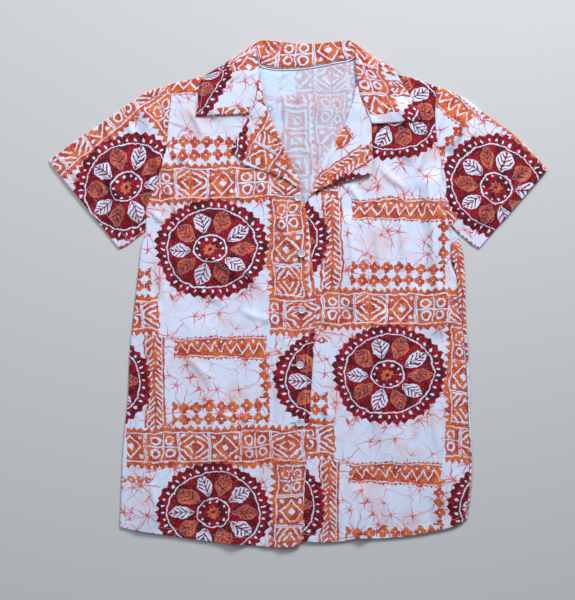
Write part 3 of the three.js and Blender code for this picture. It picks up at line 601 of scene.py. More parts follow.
def grid_normals(grid, ring=False):
    """Upward directions on a grid of points."""
    if ring:
        across = np.roll(grid, -1, axis=1) - np.roll(grid, 1, axis=1)
    else:
        across = np.gradient(grid, axis=1)
    normals = np.cross(across, np.gradient(grid, axis=0))
    return normals / np.maximum(np.linalg.norm(normals, axis=2, keepdims=True), NO_LENGTH)


def edge_distances(grid):
    """Distance of every grid point from the left, right, bottom and top edges, along the cloth."""
    across = np.linalg.norm(np.diff(grid, axis=1), axis=2)
    upward = np.linalg.norm(np.diff(grid, axis=0), axis=2)
    left = np.hstack([np.zeros((len(grid), 1)), np.cumsum(across, axis=1)])
    bottom = np.vstack([np.zeros((1, grid.shape[1])), np.cumsum(upward, axis=0)])
    return {"left": left, "right": left[:, -1:] - left, "bottom": bottom, "top": bottom[-1:] - bottom}


def quads(index):
    """Faces between the neighbouring entries of a grid of numbers."""
    corners = (index[:-1, :-1], index[:-1, 1:], index[1:, 1:], index[1:, :-1])
    return np.stack(corners, axis=-1).reshape(-1, 4)


def shell(name, grid, cloth_places, thickness, sides, ring=False):
    """A closed wall about a grid, with the materials of its upper and lower side."""
    half = (np.broadcast_to(thickness, grid.shape[:2]) / 2)[..., None]
    normals = grid_normals(grid, ring)
    upper, lower = grid + normals * half, grid - normals * half
    rows, columns = grid.shape[:2]
    index = np.arange(rows * columns).reshape(rows, columns)
    places = np.arange(rows * (columns + ring)).reshape(rows, columns + ring)
    if ring:
        index = np.hstack([index, index[:, :1]])
    below = index + rows * columns
    blocks = [
        (quads(index), quads(places), sides[0]),
        (quads(below)[:, ::-1], quads(places)[:, ::-1], sides[1]),
    ]
    rims = [(below[0], index[0], places[0]), (index[-1], below[-1], places[-1])]
    if not ring:
        rims.append((index[:, 0], below[:, 0], places[:, 0]))
        rims.append((below[:, -1], index[:, -1], places[:, -1]))
    for one, other, rim_places in rims:
        blocks.append((quads(np.stack([one, other])), quads(np.stack([rim_places] * 2)), sides[0]))
    faces = np.concatenate([block[0] for block in blocks])
    corners = np.concatenate([block[1] for block in blocks])
    finishes = np.concatenate([np.full(len(block[0]), block[2]) for block in blocks])
    points = np.concatenate([upper.reshape(-1, 3), lower.reshape(-1, 3)])
    mesh = mesh_in_frame(name, points, [], faces.tolist())
    mesh.polygons.foreach_set("material_index", finishes.astype(np.int32))
    mesh.polygons.foreach_set("use_smooth", np.ones(len(faces), dtype=bool))
    cloth_map = mesh.uv_layers.new(name="cloth")
    cloth_map.data.foreach_set("uv", (cloth_places.reshape(-1, 2)[corners.reshape(-1)] * MM).ravel())
    mesh.validate()
    return add_piece(name, mesh), upper


def rounded(distance, thickness):
    """How full a wall is at a distance from its edge, so that the edge is round."""
    depth = np.clip(distance / (thickness / 2 + ROUNDING_REACH), 0, 1)
    return np.maximum(np.sqrt(1 - (1 - depth) ** 2), LEAST_FULLNESS)


def turned_edge(distance, width):
    """Extra thickness of an edge that is turned in and stitched at a width."""
    pressed = 1 - ramp(distance, width + TURN_STEP[0], width + TURN_STEP[1])
    groove = np.exp(-(((distance - width) / GROOVE_WIDTH) ** 2))
    return TURNED_PLY * pressed - GROOVE_DEPTH * groove


def places_on_cloth(name, x, y, flip=1):
    """Places on the uncut cloth for a named piece, which flip -1 lays wrong side up."""
    degrees, move_x, move_y = PRINT_CUTS[name]
    turn = math.radians(degrees)
    across = flip * (x * math.cos(turn) + y * math.sin(turn)) + move_x
    return np.stack([across, -x * math.sin(turn) + y * math.cos(turn) + move_y], axis=-1)


third_button = (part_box("button_3")[0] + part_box("button_3")[1]) / 2 / MM
cloth_shift = np.array([third_button[0] - BUTTONS[2][0], third_button[1] - BUTTONS[2][1], 0])
print("shift into the frame in mm:", cloth_shift.round(2))

# %% [markdown]
# ## Fronts
#
# The right front laps over the left one. Its edge is a fold with the facing inside, stitched
# 11 mm in, and the hems are narrow, turned twice. Both keep the outlines of their solids.

# %% Right and left front
SIDE_PART, ARMHOLE_PART = 18 / 27, 9 / 27
EDGE_PART, ROLL_PART = 19 / 27, 8 / 27
FRONT_LENGTH = 700.0
FRONT_WIDTH = 275.0
FRONT_ROWS = 216
FRONT_COLUMNS = {"right": 88, "left": 84}
PUCKER_LENGTH = 7.5
PUCKER_REACH = 6.0
PUCKER_SCALE = 0.6


def pucker(distance, course, width, seed):
    """Small waves beside a row of stitches, dying out on both sides of it."""
    wave = soft_noise(course, distance * PUCKER_SCALE, PUCKER_LENGTH, seed)
    return PUCKER * wave * np.exp(-(((distance - width) / PUCKER_REACH) ** 2))


def sewn_wall(grid, edges):
    """Thickness of a piece whose named edges are turned in at the widths given."""
    distances = edge_distances(grid)
    thickness = np.full(grid.shape[:2], PLY)
    for edge, width in edges.items():
        thickness = np.maximum(thickness, PLY + turned_edge(distances[edge], width))
    for distance in distances.values():
        thickness = thickness * rounded(distance, PLY)
    return thickness, distances


def front_grid(left, right, bottom, top, height, rows, columns):
    """The grid of a front inside its four boundaries, at the height of its layer."""
    flat = patch(rows, columns, left, right, bottom, top)
    return np.dstack([flat, height(flat[..., 0], flat[..., 1])])


def build_front_right():
    rows = lines_across(FRONT_ROWS, FRONT_LENGTH, start=True)
    columns = lines_across(FRONT_COLUMNS["right"], FRONT_WIDTH, end=True)
    roll = shifted(RIGHT_ROLL, ROLL_INSET)
    grid = front_grid(
        boundary(
            rows,
            (smooth_line(RIGHT_SIDE), SIDE_PART),
            (smooth_line(RIGHT_ARMHOLE), ARMHOLE_PART),
        ),
        boundary(
            rows,
            (smooth_line(RIGHT_FRONT_EDGE, roll[:1]), EDGE_PART),
            (smooth_line(roll, RIGHT_SHOULDER[-1:]), ROLL_PART),
        ),
        boundary(columns, (smooth_line(RIGHT_HEM), 1.0)),
        boundary(columns, (smooth_line(RIGHT_SHOULDER), 1.0)),
        right_front_height, rows, columns,
    )
    thickness, distances = sewn_wall(grid, {"right": FRONT_STITCH, "bottom": HEM_STITCH})
    grid[..., 2] += pucker(distances["right"], grid[..., 1], FRONT_STITCH, 11)
    curled = 1 - ramp(grid[..., 1], *EDGE_CURL_FADE)
    grid[..., 2] -= EDGE_CURL * (1 - ramp(distances["right"], 0, EDGE_CURL_WIDTH)) * curled
    grid[..., 2] += pucker(distances["bottom"], grid[..., 0], HEM_STITCH, 12)
    places = places_on_cloth("front_right", grid[..., 0], grid[..., 1])
    return (*shell("front_right_cloth", grid, places, thickness, FACE_UP), distances)


def build_front_left():
    rows = lines_across(FRONT_ROWS, FRONT_LENGTH, start=True)
    columns = lines_across(FRONT_COLUMNS["left"], FRONT_WIDTH, start=True)
    roll = shifted(LEFT_ROLL, -ROLL_INSET)
    grid = front_grid(
        boundary(
            rows,
            (smooth_line(LEFT_FRONT_EDGE, roll[:1]), EDGE_PART),
            (smooth_line(roll, LEFT_SHOULDER[:1]), ROLL_PART),
        ),
        boundary(
            rows,
            (smooth_line(LEFT_SIDE_SEAM), SIDE_PART),
            (smooth_line(LEFT_ARMHOLE), ARMHOLE_PART),
        ),
        boundary(columns, (smooth_line(LEFT_HEM), 1.0)),
        boundary(columns, (smooth_line(LEFT_SHOULDER), 1.0)),
        left_front_height, rows, columns,
    )
    thickness, distances = sewn_wall(grid, {"left": FRONT_STITCH, "bottom": HEM_STITCH})
    grid[..., 2] += pucker(distances["bottom"], grid[..., 0], HEM_STITCH, 13)
    places = places_on_cloth("front_left", grid[..., 0], grid[..., 1])
    return (*shell("front_left_cloth", grid, places, thickness, FACE_UP), distances)


front_right, front_right_top, front_right_edges = build_front_right()
front_left, front_left_top, front_left_edges = build_front_left()
print("front faces:", len(front_right.data.polygons), len(front_left.data.polygons))

# %% [markdown]
# ## Back
#
# The back lies wrong side up, with the paler side of the print to be seen in the open neck.
# On the wearer's left it goes round the side as a strip and meets the front at the side seam.

# %% Back with its strip round the side
BACK_ROWS = 189
BACK_COLUMNS = 128
BACK_SIDE_PART = 11 / 20
WRAPPED_PART = 10 / 11
NECKLINE_START, NECKLINE_PART, NECKLINE_END = 4 / 16, 7 / 16, 5 / 16
FOLD_RADIUS = (FRONT_HEIGHT - BACK_HEIGHT) / 2
FOLD_STEPS = 8
STRIP_STEPS = 4
STRIP_GAP = 1.0
STRIP_LEAST_WIDTH = 1.2
STRIP_RISE = 0.2
SIDE_DRAW = 6


def back_outline(rows, columns):
    """The flat grid of the back, with its neckline tucked under the collar."""
    underarm = np.array([LEFT_SIDE_FOLD[-1], LEFT_ARMHOLE[0]], float)
    tucked = [(x, y + NECK_TUCK) for x, y in BACK_NECKLINE[1:-1]]
    neckline = [BACK_NECKLINE[0], *tucked, BACK_NECKLINE[-1]]
    side = BACK_SIDE_PART
    return patch(
        rows, columns,
        boundary(rows, (smooth_line(RIGHT_SIDE), side), (smooth_line(RIGHT_ARMHOLE), 1 - side)),
        boundary(
            rows,
            (smooth_line(LEFT_SIDE_FOLD), side * WRAPPED_PART),
            (underarm, side * (1 - WRAPPED_PART)),
            (smooth_line(LEFT_ARMHOLE), 1 - side),
        ),
        boundary(columns, (smooth_line(BACK_HEM), 1.0)),
        boundary(
            columns,
            (smooth_line(RIGHT_SHOULDER), NECKLINE_START),
            (smooth_line(neckline), NECKLINE_PART),
            (smooth_line(LEFT_SHOULDER), NECKLINE_END),
        ),
    )


def round_the_side(end, seam_x):
    """Points round the fold at the side, and back over the top to the side seam."""
    centre_x, level = end[0] - FOLD_RADIUS, end[1]
    points = [(centre_x, level, BACK_HEIGHT)]
    for turn in np.linspace(0, math.pi, FOLD_STEPS + 1)[1:]:
        height = BACK_HEIGHT + FOLD_RADIUS * (1 - math.cos(turn))
        points.append((centre_x + FOLD_RADIUS * math.sin(turn), level, height))
    for share in np.arange(1, STRIP_STEPS + 1) / STRIP_STEPS:
        points.append((mix(centre_x, seam_x, share), level, FRONT_HEIGHT + STRIP_RISE * share))
    return np.array(points)


def with_side_strip(rows, grid):
    """The grid with its strip, and how far each point is from the right side along the cloth."""
    seam = np.array(LEFT_SIDE_SEAM, float)
    lengthened, courses = [], []
    for share, row in zip(rows, grid):
        end = row[-1]
        body = row[:-1].copy()
        body[:, 0] -= np.linspace(0, 1, len(body)) ** SIDE_DRAW * FOLD_RADIUS
        if share <= BACK_SIDE_PART * WRAPPED_PART + TOLERANCE:
            seam_x = np.interp(end[1], seam[:, 1], seam[:, 0]) + STRIP_GAP
            tail = round_the_side(end, min(seam_x, end[0] - FOLD_RADIUS - STRIP_LEAST_WIDTH))
        else:
            shares = np.linspace(0, 1, FOLD_STEPS + STRIP_STEPS + 2)[1:, None]
            tail = mix(body[-1], end, shares)
        whole = np.vstack([body, tail])
        steps = np.linalg.norm(np.diff(whole, axis=0), axis=1)
        lengthened.append(whole)
        courses.append(np.concatenate([[0], np.cumsum(steps)]) + whole[0, 0])
    return np.array(lengthened), np.array(courses)


def build_back():
    rows = lines_across(BACK_ROWS, FRONT_LENGTH, start=True)
    flat = back_outline(rows, np.linspace(0, 1, BACK_COLUMNS + 1))
    grid = np.dstack([flat, back_height(flat[..., 0], flat[..., 1])])
    grid[..., 2] -= NECK_DIP * (1 - ramp(edge_distances(grid)["top"], *NECK_DIP_FADE))
    grid, course = with_side_strip(rows, grid)
    places = places_on_cloth("back", course, grid[..., 1], flip=-1)
    thickness, _ = sewn_wall(grid, {"bottom": HEM_STITCH})
    grid[..., 2] = np.maximum(grid[..., 2], thickness / 2 + REST_GAP)
    return shell("back_cloth", grid, places, thickness, FACE_DOWN)[0]


back = build_back()
print("back faces:", len(back.data.polygons))

# %% [markdown]
# ## Sleeves
#
# A sleeve is a tube pressed flat: an upper layer, a fold along the top, a lower layer. Its
# cuff is turned in and stitched all round. Its print runs along the sleeve, as it is cut.

# %% Sleeves
SLEEVE_LENGTH = 165.0
SLEEVE_ROWS = 52
SLEEVE_COLUMNS = 64
SLEEVE_RADIUS = LAYER / 2
SLEEVE_MIDDLE = BACK_HEIGHT + SLEEVE_RADIUS
SLEEVE_INSET = 0.3
FOLD_TURNS = np.linspace(-math.pi / 2, math.pi / 2, 7)[1:-1]


def sleeve_fold(inner, edge, way):
    """Columns round a fold of the tube: way 1 goes from the top down, and -1 comes up again."""
    columns = []
    for turn in FOLD_TURNS:
        flat = mix(inner, edge, math.cos(turn))
        level = np.full((len(inner), 1), SLEEVE_MIDDLE - way * SLEEVE_RADIUS * math.sin(turn))
        columns.append(np.dstack([flat, level]))
    return columns


def sleeve_tube(flat):
    """The grid round a flat sleeve: upper layer, top fold, lower layer and underarm fold."""
    inner = flat[:, 1:-1]
    high = SLEEVE_MIDDLE + SLEEVE_RADIUS + loft(inner[..., 0], inner[..., 1])
    low = np.full_like(high, SLEEVE_MIDDLE - SLEEVE_RADIUS)
    return np.hstack([
        np.dstack([inner, high]),
        *sleeve_fold(flat[:, -2:-1], flat[:, -1:], 1),
        np.dstack([inner, low])[:, ::-1],
        *sleeve_fold(flat[:, 1:2], flat[:, :1], -1),
    ])


def tuck_at_armhole(grid, flip):
    """The upper layer bent under the body at the armhole."""
    outward = np.cumsum(np.linalg.norm(np.diff(grid, axis=0, prepend=grid[:1]), axis=2), axis=0)
    on_top = np.clip((grid[..., 2] - SLEEVE_MIDDLE) / SLEEVE_RADIUS, 0, 1)
    tuck = (1 - ramp(outward, 0, ARMHOLE_FADE)) * on_top
    grid[..., 0] += tuck * ARMHOLE_TUCK * flip
    grid[..., 2] -= tuck * ARMHOLE_DIP


def build_sleeve(name, armhole, cuff, top, underarm, flip):
    out = lines_across(SLEEVE_ROWS, SLEEVE_LENGTH, end=True)
    over = np.linspace(0, 1, SLEEVE_COLUMNS)
    grid = sleeve_tube(patch(
        out, over,
        boundary(out, (smooth_line(underarm), 1.0)), boundary(out, (smooth_line(top), 1.0)),
        boundary(over, (smooth_line(armhole), 1.0)), boundary(over, (smooth_line(cuff), 1.0)),
    ))
    tuck_at_armhole(grid, flip)
    grid = grid[::-1] if flip < 0 else grid
    closed = np.hstack([grid, grid[:, :1]])
    places = places_on_cloth(name, closed[..., 0], closed[..., 1])
    places[:, SLEEVE_COLUMNS - 2 + len(FOLD_TURNS):, 0] += UNDER_LAYER_MOVE
    distances = edge_distances(grid)
    cuff_distance = distances["bottom" if flip < 0 else "top"]
    thickness = PLY + np.maximum(turned_edge(cuff_distance, CUFF_STITCH), 0)
    for end in ("bottom", "top"):
        thickness = thickness * rounded(distances[end], PLY)
    puckers = pucker(cuff_distance, grid[..., 1], CUFF_STITCH, 15)
    grid[..., 2] += np.where(grid[..., 2] > SLEEVE_MIDDLE, puckers, 0)
    grid[..., 2] = np.maximum(grid[..., 2], thickness / 2 + REST_GAP)
    return (*shell(f"{name}_cloth", grid, places, thickness, FACE_UP, ring=True), cuff_distance)


sleeve_right, sleeve_right_top, sleeve_right_cuff = build_sleeve(
    "sleeve_right", shifted(RIGHT_ARMHOLE, SLEEVE_INSET),
    RIGHT_SLEEVE_CUFF, RIGHT_SLEEVE_TOP, RIGHT_UNDERARM, 1,
)
sleeve_left, sleeve_left_top, sleeve_left_cuff = build_sleeve(
    "sleeve_left", shifted(LEFT_ARMHOLE, -SLEEVE_INSET),
    LEFT_SLEEVE_CUFF, LEFT_SLEEVE_TOP, LEFT_UNDERARM, -1,
)
print("sleeve faces:", len(sleeve_right.data.polygons), len(sleeve_left.data.polygons))

# %% [markdown]
# ## Lapels
#
# Above the top button the fronts are turned back, and the facing shows. The roll is soft and
# rises over the front's own edge, and the leaf comes down to the front again.

# %% Lapels
LAPEL_WALL = 1.1
LAPEL_LENGTH, LAPEL_ROWS = 190.0, 96
LAPEL_WIDTH, LAPEL_COLUMNS = 70.0, 30
CORNER_REACH = 3
ROLL_PROFILE = ((0.9, 0.1), (0.15, 1.3), (0.0, 2.5), (0.7, 3.8))
ROLL_TABLE_POINTS = 7
ROLL_POINTS = 15
ROLL_SINKS_FROM, ROLL_SINKS_BY = 0.7, 0.7
NARROW_INSET = 0.25
INSET_DRAW = 4
COURSE_SHARE = 0.1


def softened(line, reach):
    """A line with points every millimetre and its corners rounded over a reach."""
    dense = along(line, np.linspace(0, 1, int(line_length(line))))
    kernel = np.hanning(reach * 2 + 1)
    kernel /= kernel.sum()
    padded = np.vstack([
        2 * dense[0] - dense[reach:0:-1],
        dense,
        2 * dense[-1] - dense[-2:-reach - 2:-1],
    ])
    return np.stack([np.convolve(axis, kernel, mode="valid") for axis in padded.T], axis=1)


def lapel_row(row, columns, share, height, lift, inward):
    """One row of a lapel: round the roll from the front's own edge, then out to the tip."""
    rise = ROLL_HEIGHT * (1 - ROLL_SINKS_BY * ramp(share, ROLL_SINKS_FROM, 1.0))
    scale = (LAYER + rise) / (LAYER + ROLL_HEIGHT)
    level = height(row[:1, 0], row[:1, 1])[0]
    wrap = [(row[0, 0] + inward * inset, row[0, 1], level + up * scale) for inset, up in ROLL_PROFILE]
    inset = min(ROLL_INSET, NARROW_INSET * math.dist(row[0], row[-1]))
    x = row[:, 0] + inward * inset * (1 - columns) ** INSET_DRAW
    uneven = waves(LAPEL_WAVES, row[:, 0], row[:, 1]) * columns
    z = height(x, row[:, 1]) + LAYER + mix(rise, lift, ramp(columns, 0, 1)) + uneven
    whole = np.vstack([wrap, np.stack([x, row[:, 1], z], axis=1)])
    bend = along(short_curve(whole[:ROLL_TABLE_POINTS]), np.linspace(0, 1, ROLL_POINTS))
    return np.vstack([bend, whole[ROLL_TABLE_POINTS:]])


def build_lapel(name, roll, gorge, edge, height, lift, inward):
    rows = lines_across(LAPEL_ROWS, LAPEL_LENGTH, start=True)
    columns = lines_across(LAPEL_COLUMNS, LAPEL_WIDTH, end=True)
    flat = patch(
        rows, columns,
        boundary(rows, (smooth_line(roll[::-1]), 1.0)),
        boundary(rows, (softened(np.array(edge, float), CORNER_REACH), 1.0)),
        boundary(columns, (smooth_line(gorge), 1.0)),
        boundary(columns, (np.array([roll[0], edge[-1]], float), 1.0)),
    )
    grid = np.array([
        lapel_row(row, columns, share, height, lift, inward) for share, row in zip(rows, flat)
    ])
    distances = edge_distances(grid)
    course = grid[..., 0] + inward * distances["left"] * COURSE_SHARE
    places = places_on_cloth(name, course, grid[..., 1], flip=-1)
    thickness = np.full(grid.shape[:2], LAPEL_WALL)
    for distance in distances.values():
        thickness = thickness * rounded(distance, LAPEL_WALL)
    if inward > 0:
        grid, thickness, places = grid[:, ::-1], thickness[:, ::-1], places[:, ::-1]
    return shell(f"{name}_cloth", grid, places, thickness, BOTH_RIGHT)[0]


lapel_right = build_lapel(
    "facing_right", RIGHT_ROLL, RIGHT_LAPEL_GORGE, RIGHT_LAPEL_EDGE, right_front_height, 0.6, -1,
)
lapel_left = build_lapel(
    "facing_left", LEFT_ROLL, LEFT_LAPEL_GORGE, LEFT_LAPEL_EDGE, left_front_height, 3.0, 1,
)
print("lapel faces:", len(lapel_right.data.polygons), len(lapel_left.data.polygons))

# %% [markdown]
# ## Collar
#
# Upper and under collar are one wall, thicker than the rest. It stands up at the seam, rolls
# over and comes down as a pointed leaf on each front. At the back the leaf lies underneath.

# %% Collar
COLLAR_WALL = 1.0
COLLAR_ALONG = 176
STAND_CELLS = 9
LEAF_CELLS = 30
CLOSE_AT_ENDS = 1.4
STAND_BEND = 0.35
STAND_REACH_UNDER, STAND_REACH_ON_TOP = 3.0, 0.9
STAND_REACH_SHARE = 0.4
LEAF_REACH_UNDER, LEAF_REACH_ON_TOP = 0.9, 3.0
HANDLE_UNDER, HANDLE_ON_TOP = 0.85, 0.6
LEAF_AIR = 0.4
STAND_AIR = 0.2
SEAM_CALM = 4.0
COLLAR_STITCH = 5.5
COLLAR_GROOVE_WIDTH, COLLAR_GROOVE_DEPTH = 0.9, 0.35


def at_share(values, share):
    """The value of a soft curve through evenly spaced points, at a share of their count."""
    place = share * (len(values) - 1)
    first = min(int(place), len(values) - 2)
    before, start, end, after = with_ends(values)[first:first + 4]
    return hermite(place - first, start, (end - before) / 2, end, (after - start) / 2)


def bezier(a, b, c, d, share):
    """Points of a Bezier curve from a to d, drawn towards b and c."""
    share = share[:, None]
    rest = 1 - share
    return rest**3 * a + 3 * rest**2 * share * b + 3 * rest * share**2 * c + share**3 * d


def collar_section(seam, roll, edge, side):
    """One section: up the stand, over the roll and down the leaf."""
    to_edge = (edge - roll) / np.linalg.norm(edge - roll)
    to_seam = (seam - roll) / np.linalg.norm(seam - roll)
    turn = (to_edge - to_seam) / np.linalg.norm(to_edge - to_seam)
    on_top = (side + 1) / 2
    longest_reach = np.linalg.norm(seam - roll) * STAND_REACH_SHARE
    stand_reach = min(mix(STAND_REACH_UNDER, STAND_REACH_ON_TOP, on_top), longest_reach)
    leaf_reach = mix(LEAF_REACH_UNDER, LEAF_REACH_ON_TOP, on_top)
    handle = mix(edge, roll, mix(HANDLE_UNDER, HANDLE_ON_TOP, on_top))
    handle[2] = mix(edge[2], handle[2], on_top)
    stand_shares = 1 - (1 - np.arange(STAND_CELLS) / STAND_CELLS) ** CLOSE_AT_ENDS
    leaf_shares = (np.arange(LEAF_CELLS + 1) / LEAF_CELLS) ** CLOSE_AT_ENDS
    stand = bezier(seam, mix(seam, roll, STAND_BEND), roll - turn * stand_reach, roll, stand_shares)
    leaf = bezier(roll, roll + turn * leaf_reach, handle, edge, leaf_shares)
    return np.vstack([stand, leaf])


def kept_above(section, side):
    """The section, raised where it would sink into the fronts or below the back."""
    x, y = section[:, 0], section[:, 1]
    fronts = np.where(x < 0, right_front_height(x, y), left_front_height(x, y))
    lowest = fronts + LAYER + LEAF_AIR if side >= 1 else BACK_HEIGHT + STAND_AIR
    section[:, 2] = np.maximum(section[:, 2], lowest)
    return section


def build_collar():
    curves = [np.array([row[k] for row in COLLAR], float) for k in range(3)]
    grid = np.array([
        kept_above(collar_section(*(at_share(curve, share) for curve in curves), side), side)
        for share, side in zip(COLLAR_SHARES, COLLAR_SIDES)
    ])[::-1]
    distances = edge_distances(grid)
    uneven = waves(COLLAR_WAVES, grid[..., 0], grid[..., 1])
    grid[..., 2] += np.maximum(uneven, 0) * (distances["left"] > SEAM_CALM)
    groove = np.exp(-(((distances["right"] - COLLAR_STITCH) / COLLAR_GROOVE_WIDTH) ** 2))
    thickness = COLLAR_WALL - COLLAR_GROOVE_DEPTH * groove
    for distance in distances.values():
        thickness = thickness * rounded(distance, COLLAR_WALL)
    roll_course = distances["bottom"][:, STAND_CELLS][:, None] + np.zeros(grid.shape[:2])
    places = places_on_cloth("collar", roll_course, distances["left"])
    return (*shell("collar_cloth", grid, places, thickness, BOTH_RIGHT), distances)


COLLAR_SHARES = np.linspace(0, 1, COLLAR_ALONG + 1)
COLLAR_SIDES = np.interp(
    COLLAR_SHARES * (len(COLLAR) - 1), np.arange(len(COLLAR)), [row[3] for row in COLLAR],
)
collar, collar_top, collar_edges = build_collar()
print("collar faces:", len(collar.data.polygons))

# %% [markdown]
# ## Stitching
#
# A row of stitches is one small shape repeated along a line, so Geometry Nodes lay it. The
# route is a bare line of edges on the cloth. The same tree lays the satin stitches of the
# buttonholes, with each stitch turned across the line.

# %% The tree that lays stitches
STITCH_SIZES = {"Pitch": 0.0028, "Stitch length": 0.0022, "Thread radius": 0.00026, "Turn": 0.0}


def stitch_tree():
    """Nodes that lay one small stitch after the other along a route."""
    tree = bpy.data.node_groups.new("Row of stitches", "GeometryNodeTree")
    sockets = tree.interface
    sockets.new_socket("Route", in_out="INPUT", socket_type="NodeSocketGeometry")
    for name, value in STITCH_SIZES.items():
        sockets.new_socket(name, in_out="INPUT", socket_type="NodeSocketFloat").default_value = value
    sockets.new_socket("Thread", in_out="INPUT", socket_type="NodeSocketMaterial")
    sockets.new_socket("Stitches", in_out="OUTPUT", socket_type="NodeSocketGeometry")
    nodes, links = tree.nodes, tree.links
    given = nodes.new("NodeGroupInput")
    curve = nodes.new("GeometryNodeMeshToCurve")
    points = nodes.new("GeometryNodeCurveToPoints")
    points.mode = "LENGTH"
    turned = nodes.new("FunctionNodeAlignRotationToVector")
    turned.axis = "X"
    across = nodes.new("FunctionNodeRotateRotation")
    across.rotation_space = "LOCAL"
    angle = nodes.new("ShaderNodeCombineXYZ")
    to_rotation = nodes.new("FunctionNodeEulerToRotation")
    stitch = nodes.new("GeometryNodeMeshUVSphere")
    stitch.inputs["Segments"].default_value = 6
    stitch.inputs["Rings"].default_value = 5
    stitch.inputs["Radius"].default_value = 1.0
    half = nodes.new("ShaderNodeMath")
    half.operation = "MULTIPLY"
    half.inputs[1].default_value = 0.5
    size = nodes.new("ShaderNodeCombineXYZ")
    laid = nodes.new("GeometryNodeInstanceOnPoints")
    real = nodes.new("GeometryNodeRealizeInstances")
    smooth = nodes.new("GeometryNodeSetShadeSmooth")
    finish = nodes.new("GeometryNodeSetMaterial")
    result = nodes.new("NodeGroupOutput")
    for source, output, target, socket in (
        (given, "Route", curve, "Mesh"),
        (curve, "Curve", points, "Curve"),
        (given, "Pitch", points, "Length"),
        (points, "Tangent", turned, "Vector"),
        (given, "Turn", angle, "Z"),
        (angle, "Vector", to_rotation, "Euler"),
        (turned, "Rotation", across, "Rotation"),
        (to_rotation, "Rotation", across, "Rotate By"),
        (given, "Stitch length", half, 0),
        (half, "Value", size, "X"),
        (given, "Thread radius", size, "Y"),
        (given, "Thread radius", size, "Z"),
        (points, "Points", laid, "Points"),
        (stitch, "Mesh", laid, "Instance"),
        (across, "Rotation", laid, "Rotation"),
        (size, "Vector", laid, "Scale"),
        (laid, "Instances", real, "Geometry"),
        (real, "Geometry", smooth, "Geometry"),
        (smooth, "Geometry", finish, "Geometry"),
        (given, "Thread", finish, "Material"),
        (finish, "Geometry", result, "Stitches"),
    ):
        links.new(source.outputs[output], target.inputs[socket])
    return tree


STITCH_TREE = stitch_tree()
THREAD = bpy.data.materials.new("sewing_thread")
print("inputs of the tree:", [item.name for item in STITCH_TREE.interface.items_tree])

# %% Rows of stitches on the pieces
END_BELOW_BUTTON = 6.0
NECK_STITCH = 2.2
LEAF_ON_TOP = 0.9
NECK_EDGE_SIDE = -0.4
TIP_ROWS = 2


def lay_stitches(name, routes, **values):
    """One mesh with a row of stitches along every route, each a line of points in mm."""
    edges = []
    start = 0
    for route in routes:
        edges += [(start + k, start + k + 1) for k in range(len(route) - 1)]
        start += len(route)
    piece = add_piece(name, mesh_in_frame(name, np.concatenate(routes), edges, []))
    laid = piece.modifiers.new("Stitches", "NODES")
    laid.node_group = STITCH_TREE
    for item in STITCH_TREE.interface.items_tree:
        if item.name in values:
            laid[item.identifier] = values[item.name]
        if item.name == "Thread":
            laid[item.identifier] = THREAD
    finished = mesh_with_modifiers(piece)
    piece.modifiers.clear()
    piece.data = finished
    finished.name = name
    return piece


def across_rows(surface, distance, amount, rows=slice(None)):
    """The line on a surface at a set distance from a side edge: one point for each row."""
    line = []
    for points, gaps in zip(surface[rows], distance[rows]):
        order = np.argsort(gaps)
        line.append([np.interp(amount, gaps[order], points[order, k]) for k in range(3)])
    return np.array(line)


def across_columns(surface, distance, amount, columns=slice(None)):
    """The same from an end edge: one point for each column."""
    return across_rows(surface.transpose(1, 0, 2), distance.T, amount, columns)


def first_below(values, limit):
    return int(np.argmax(values < limit))


def last_below(values, limit):
    return len(values) - int(np.argmax(values[::-1] < limit))


def collar_line(edge, amount, start, end):
    """The line on the collar at a distance from an edge, between two of its rows."""
    return across_rows(collar_top, collar_edges[edge], amount, slice(start, end))


body_rows = front_right_top[:, -1, 1] < BUTTONS[0][1] - END_BELOW_BUTTON
front_stitching = lay_stitches("stitching_fronts", [
    across_columns(front_right_top, front_right_edges["bottom"], HEM_STITCH),
    across_columns(front_left_top, front_left_edges["bottom"], HEM_STITCH),
    across_rows(front_right_top, front_right_edges["right"], FRONT_STITCH, body_rows),
])
upper_columns = slice(1, SLEEVE_COLUMNS - 2)
cuff_stitching = lay_stitches("stitching_cuffs", [
    across_columns(sleeve_right_top, sleeve_right_cuff, CUFF_STITCH, upper_columns),
    across_columns(sleeve_left_top, sleeve_left_cuff, CUFF_STITCH, upper_columns),
])
sides = COLLAR_SIDES[::-1]
left_leaf_end = first_below(sides, LEAF_ON_TOP)
right_leaf_start = last_below(sides, LEAF_ON_TOP)
collar_stitching = lay_stitches("stitching_collar", [
    collar_line("right", COLLAR_STITCH, TIP_ROWS, left_leaf_end),
    collar_line("right", COLLAR_STITCH, right_leaf_start, len(sides) - TIP_ROWS),
    collar_line("left", NECK_STITCH, first_below(sides, 0), last_below(sides, 0)),
])
neck_edge_line = collar_line("left", 0.0, first_below(sides, 0), last_below(sides, NECK_EDGE_SIDE))
rows_laid = (front_stitching, cuff_stitching, collar_stitching)
print("stitch faces:", [len(piece.data.polygons) for piece in rows_laid])

# %% [markdown]
# ## Buttonholes
#
# Each is a slit across the front, worked round with close satin stitches. The button sits at
# its end near the front edge, where the pull of the cloth brings it.

# %% Buttonholes
HOLE_LENGTH = 14.0
HOLE_PAST_BUTTON = 1.5
SATIN_GAP = 0.9
SATIN_LIFT = 0.05
BAR_LIFT = 0.08
BAR_HALF = SATIN_GAP + 0.6
SATIN_SIZES = {"Pitch": 0.00042, "Stitch length": 0.0015, "Thread radius": 0.00021, "Turn": math.pi / 2}


def front_surface(x, y):
    """The top of the right front, on its turned edge."""
    x, y = np.asarray(x, float), np.asarray(y, float)
    return right_front_height(x, y) + (PLY + TURNED_PLY) / 2


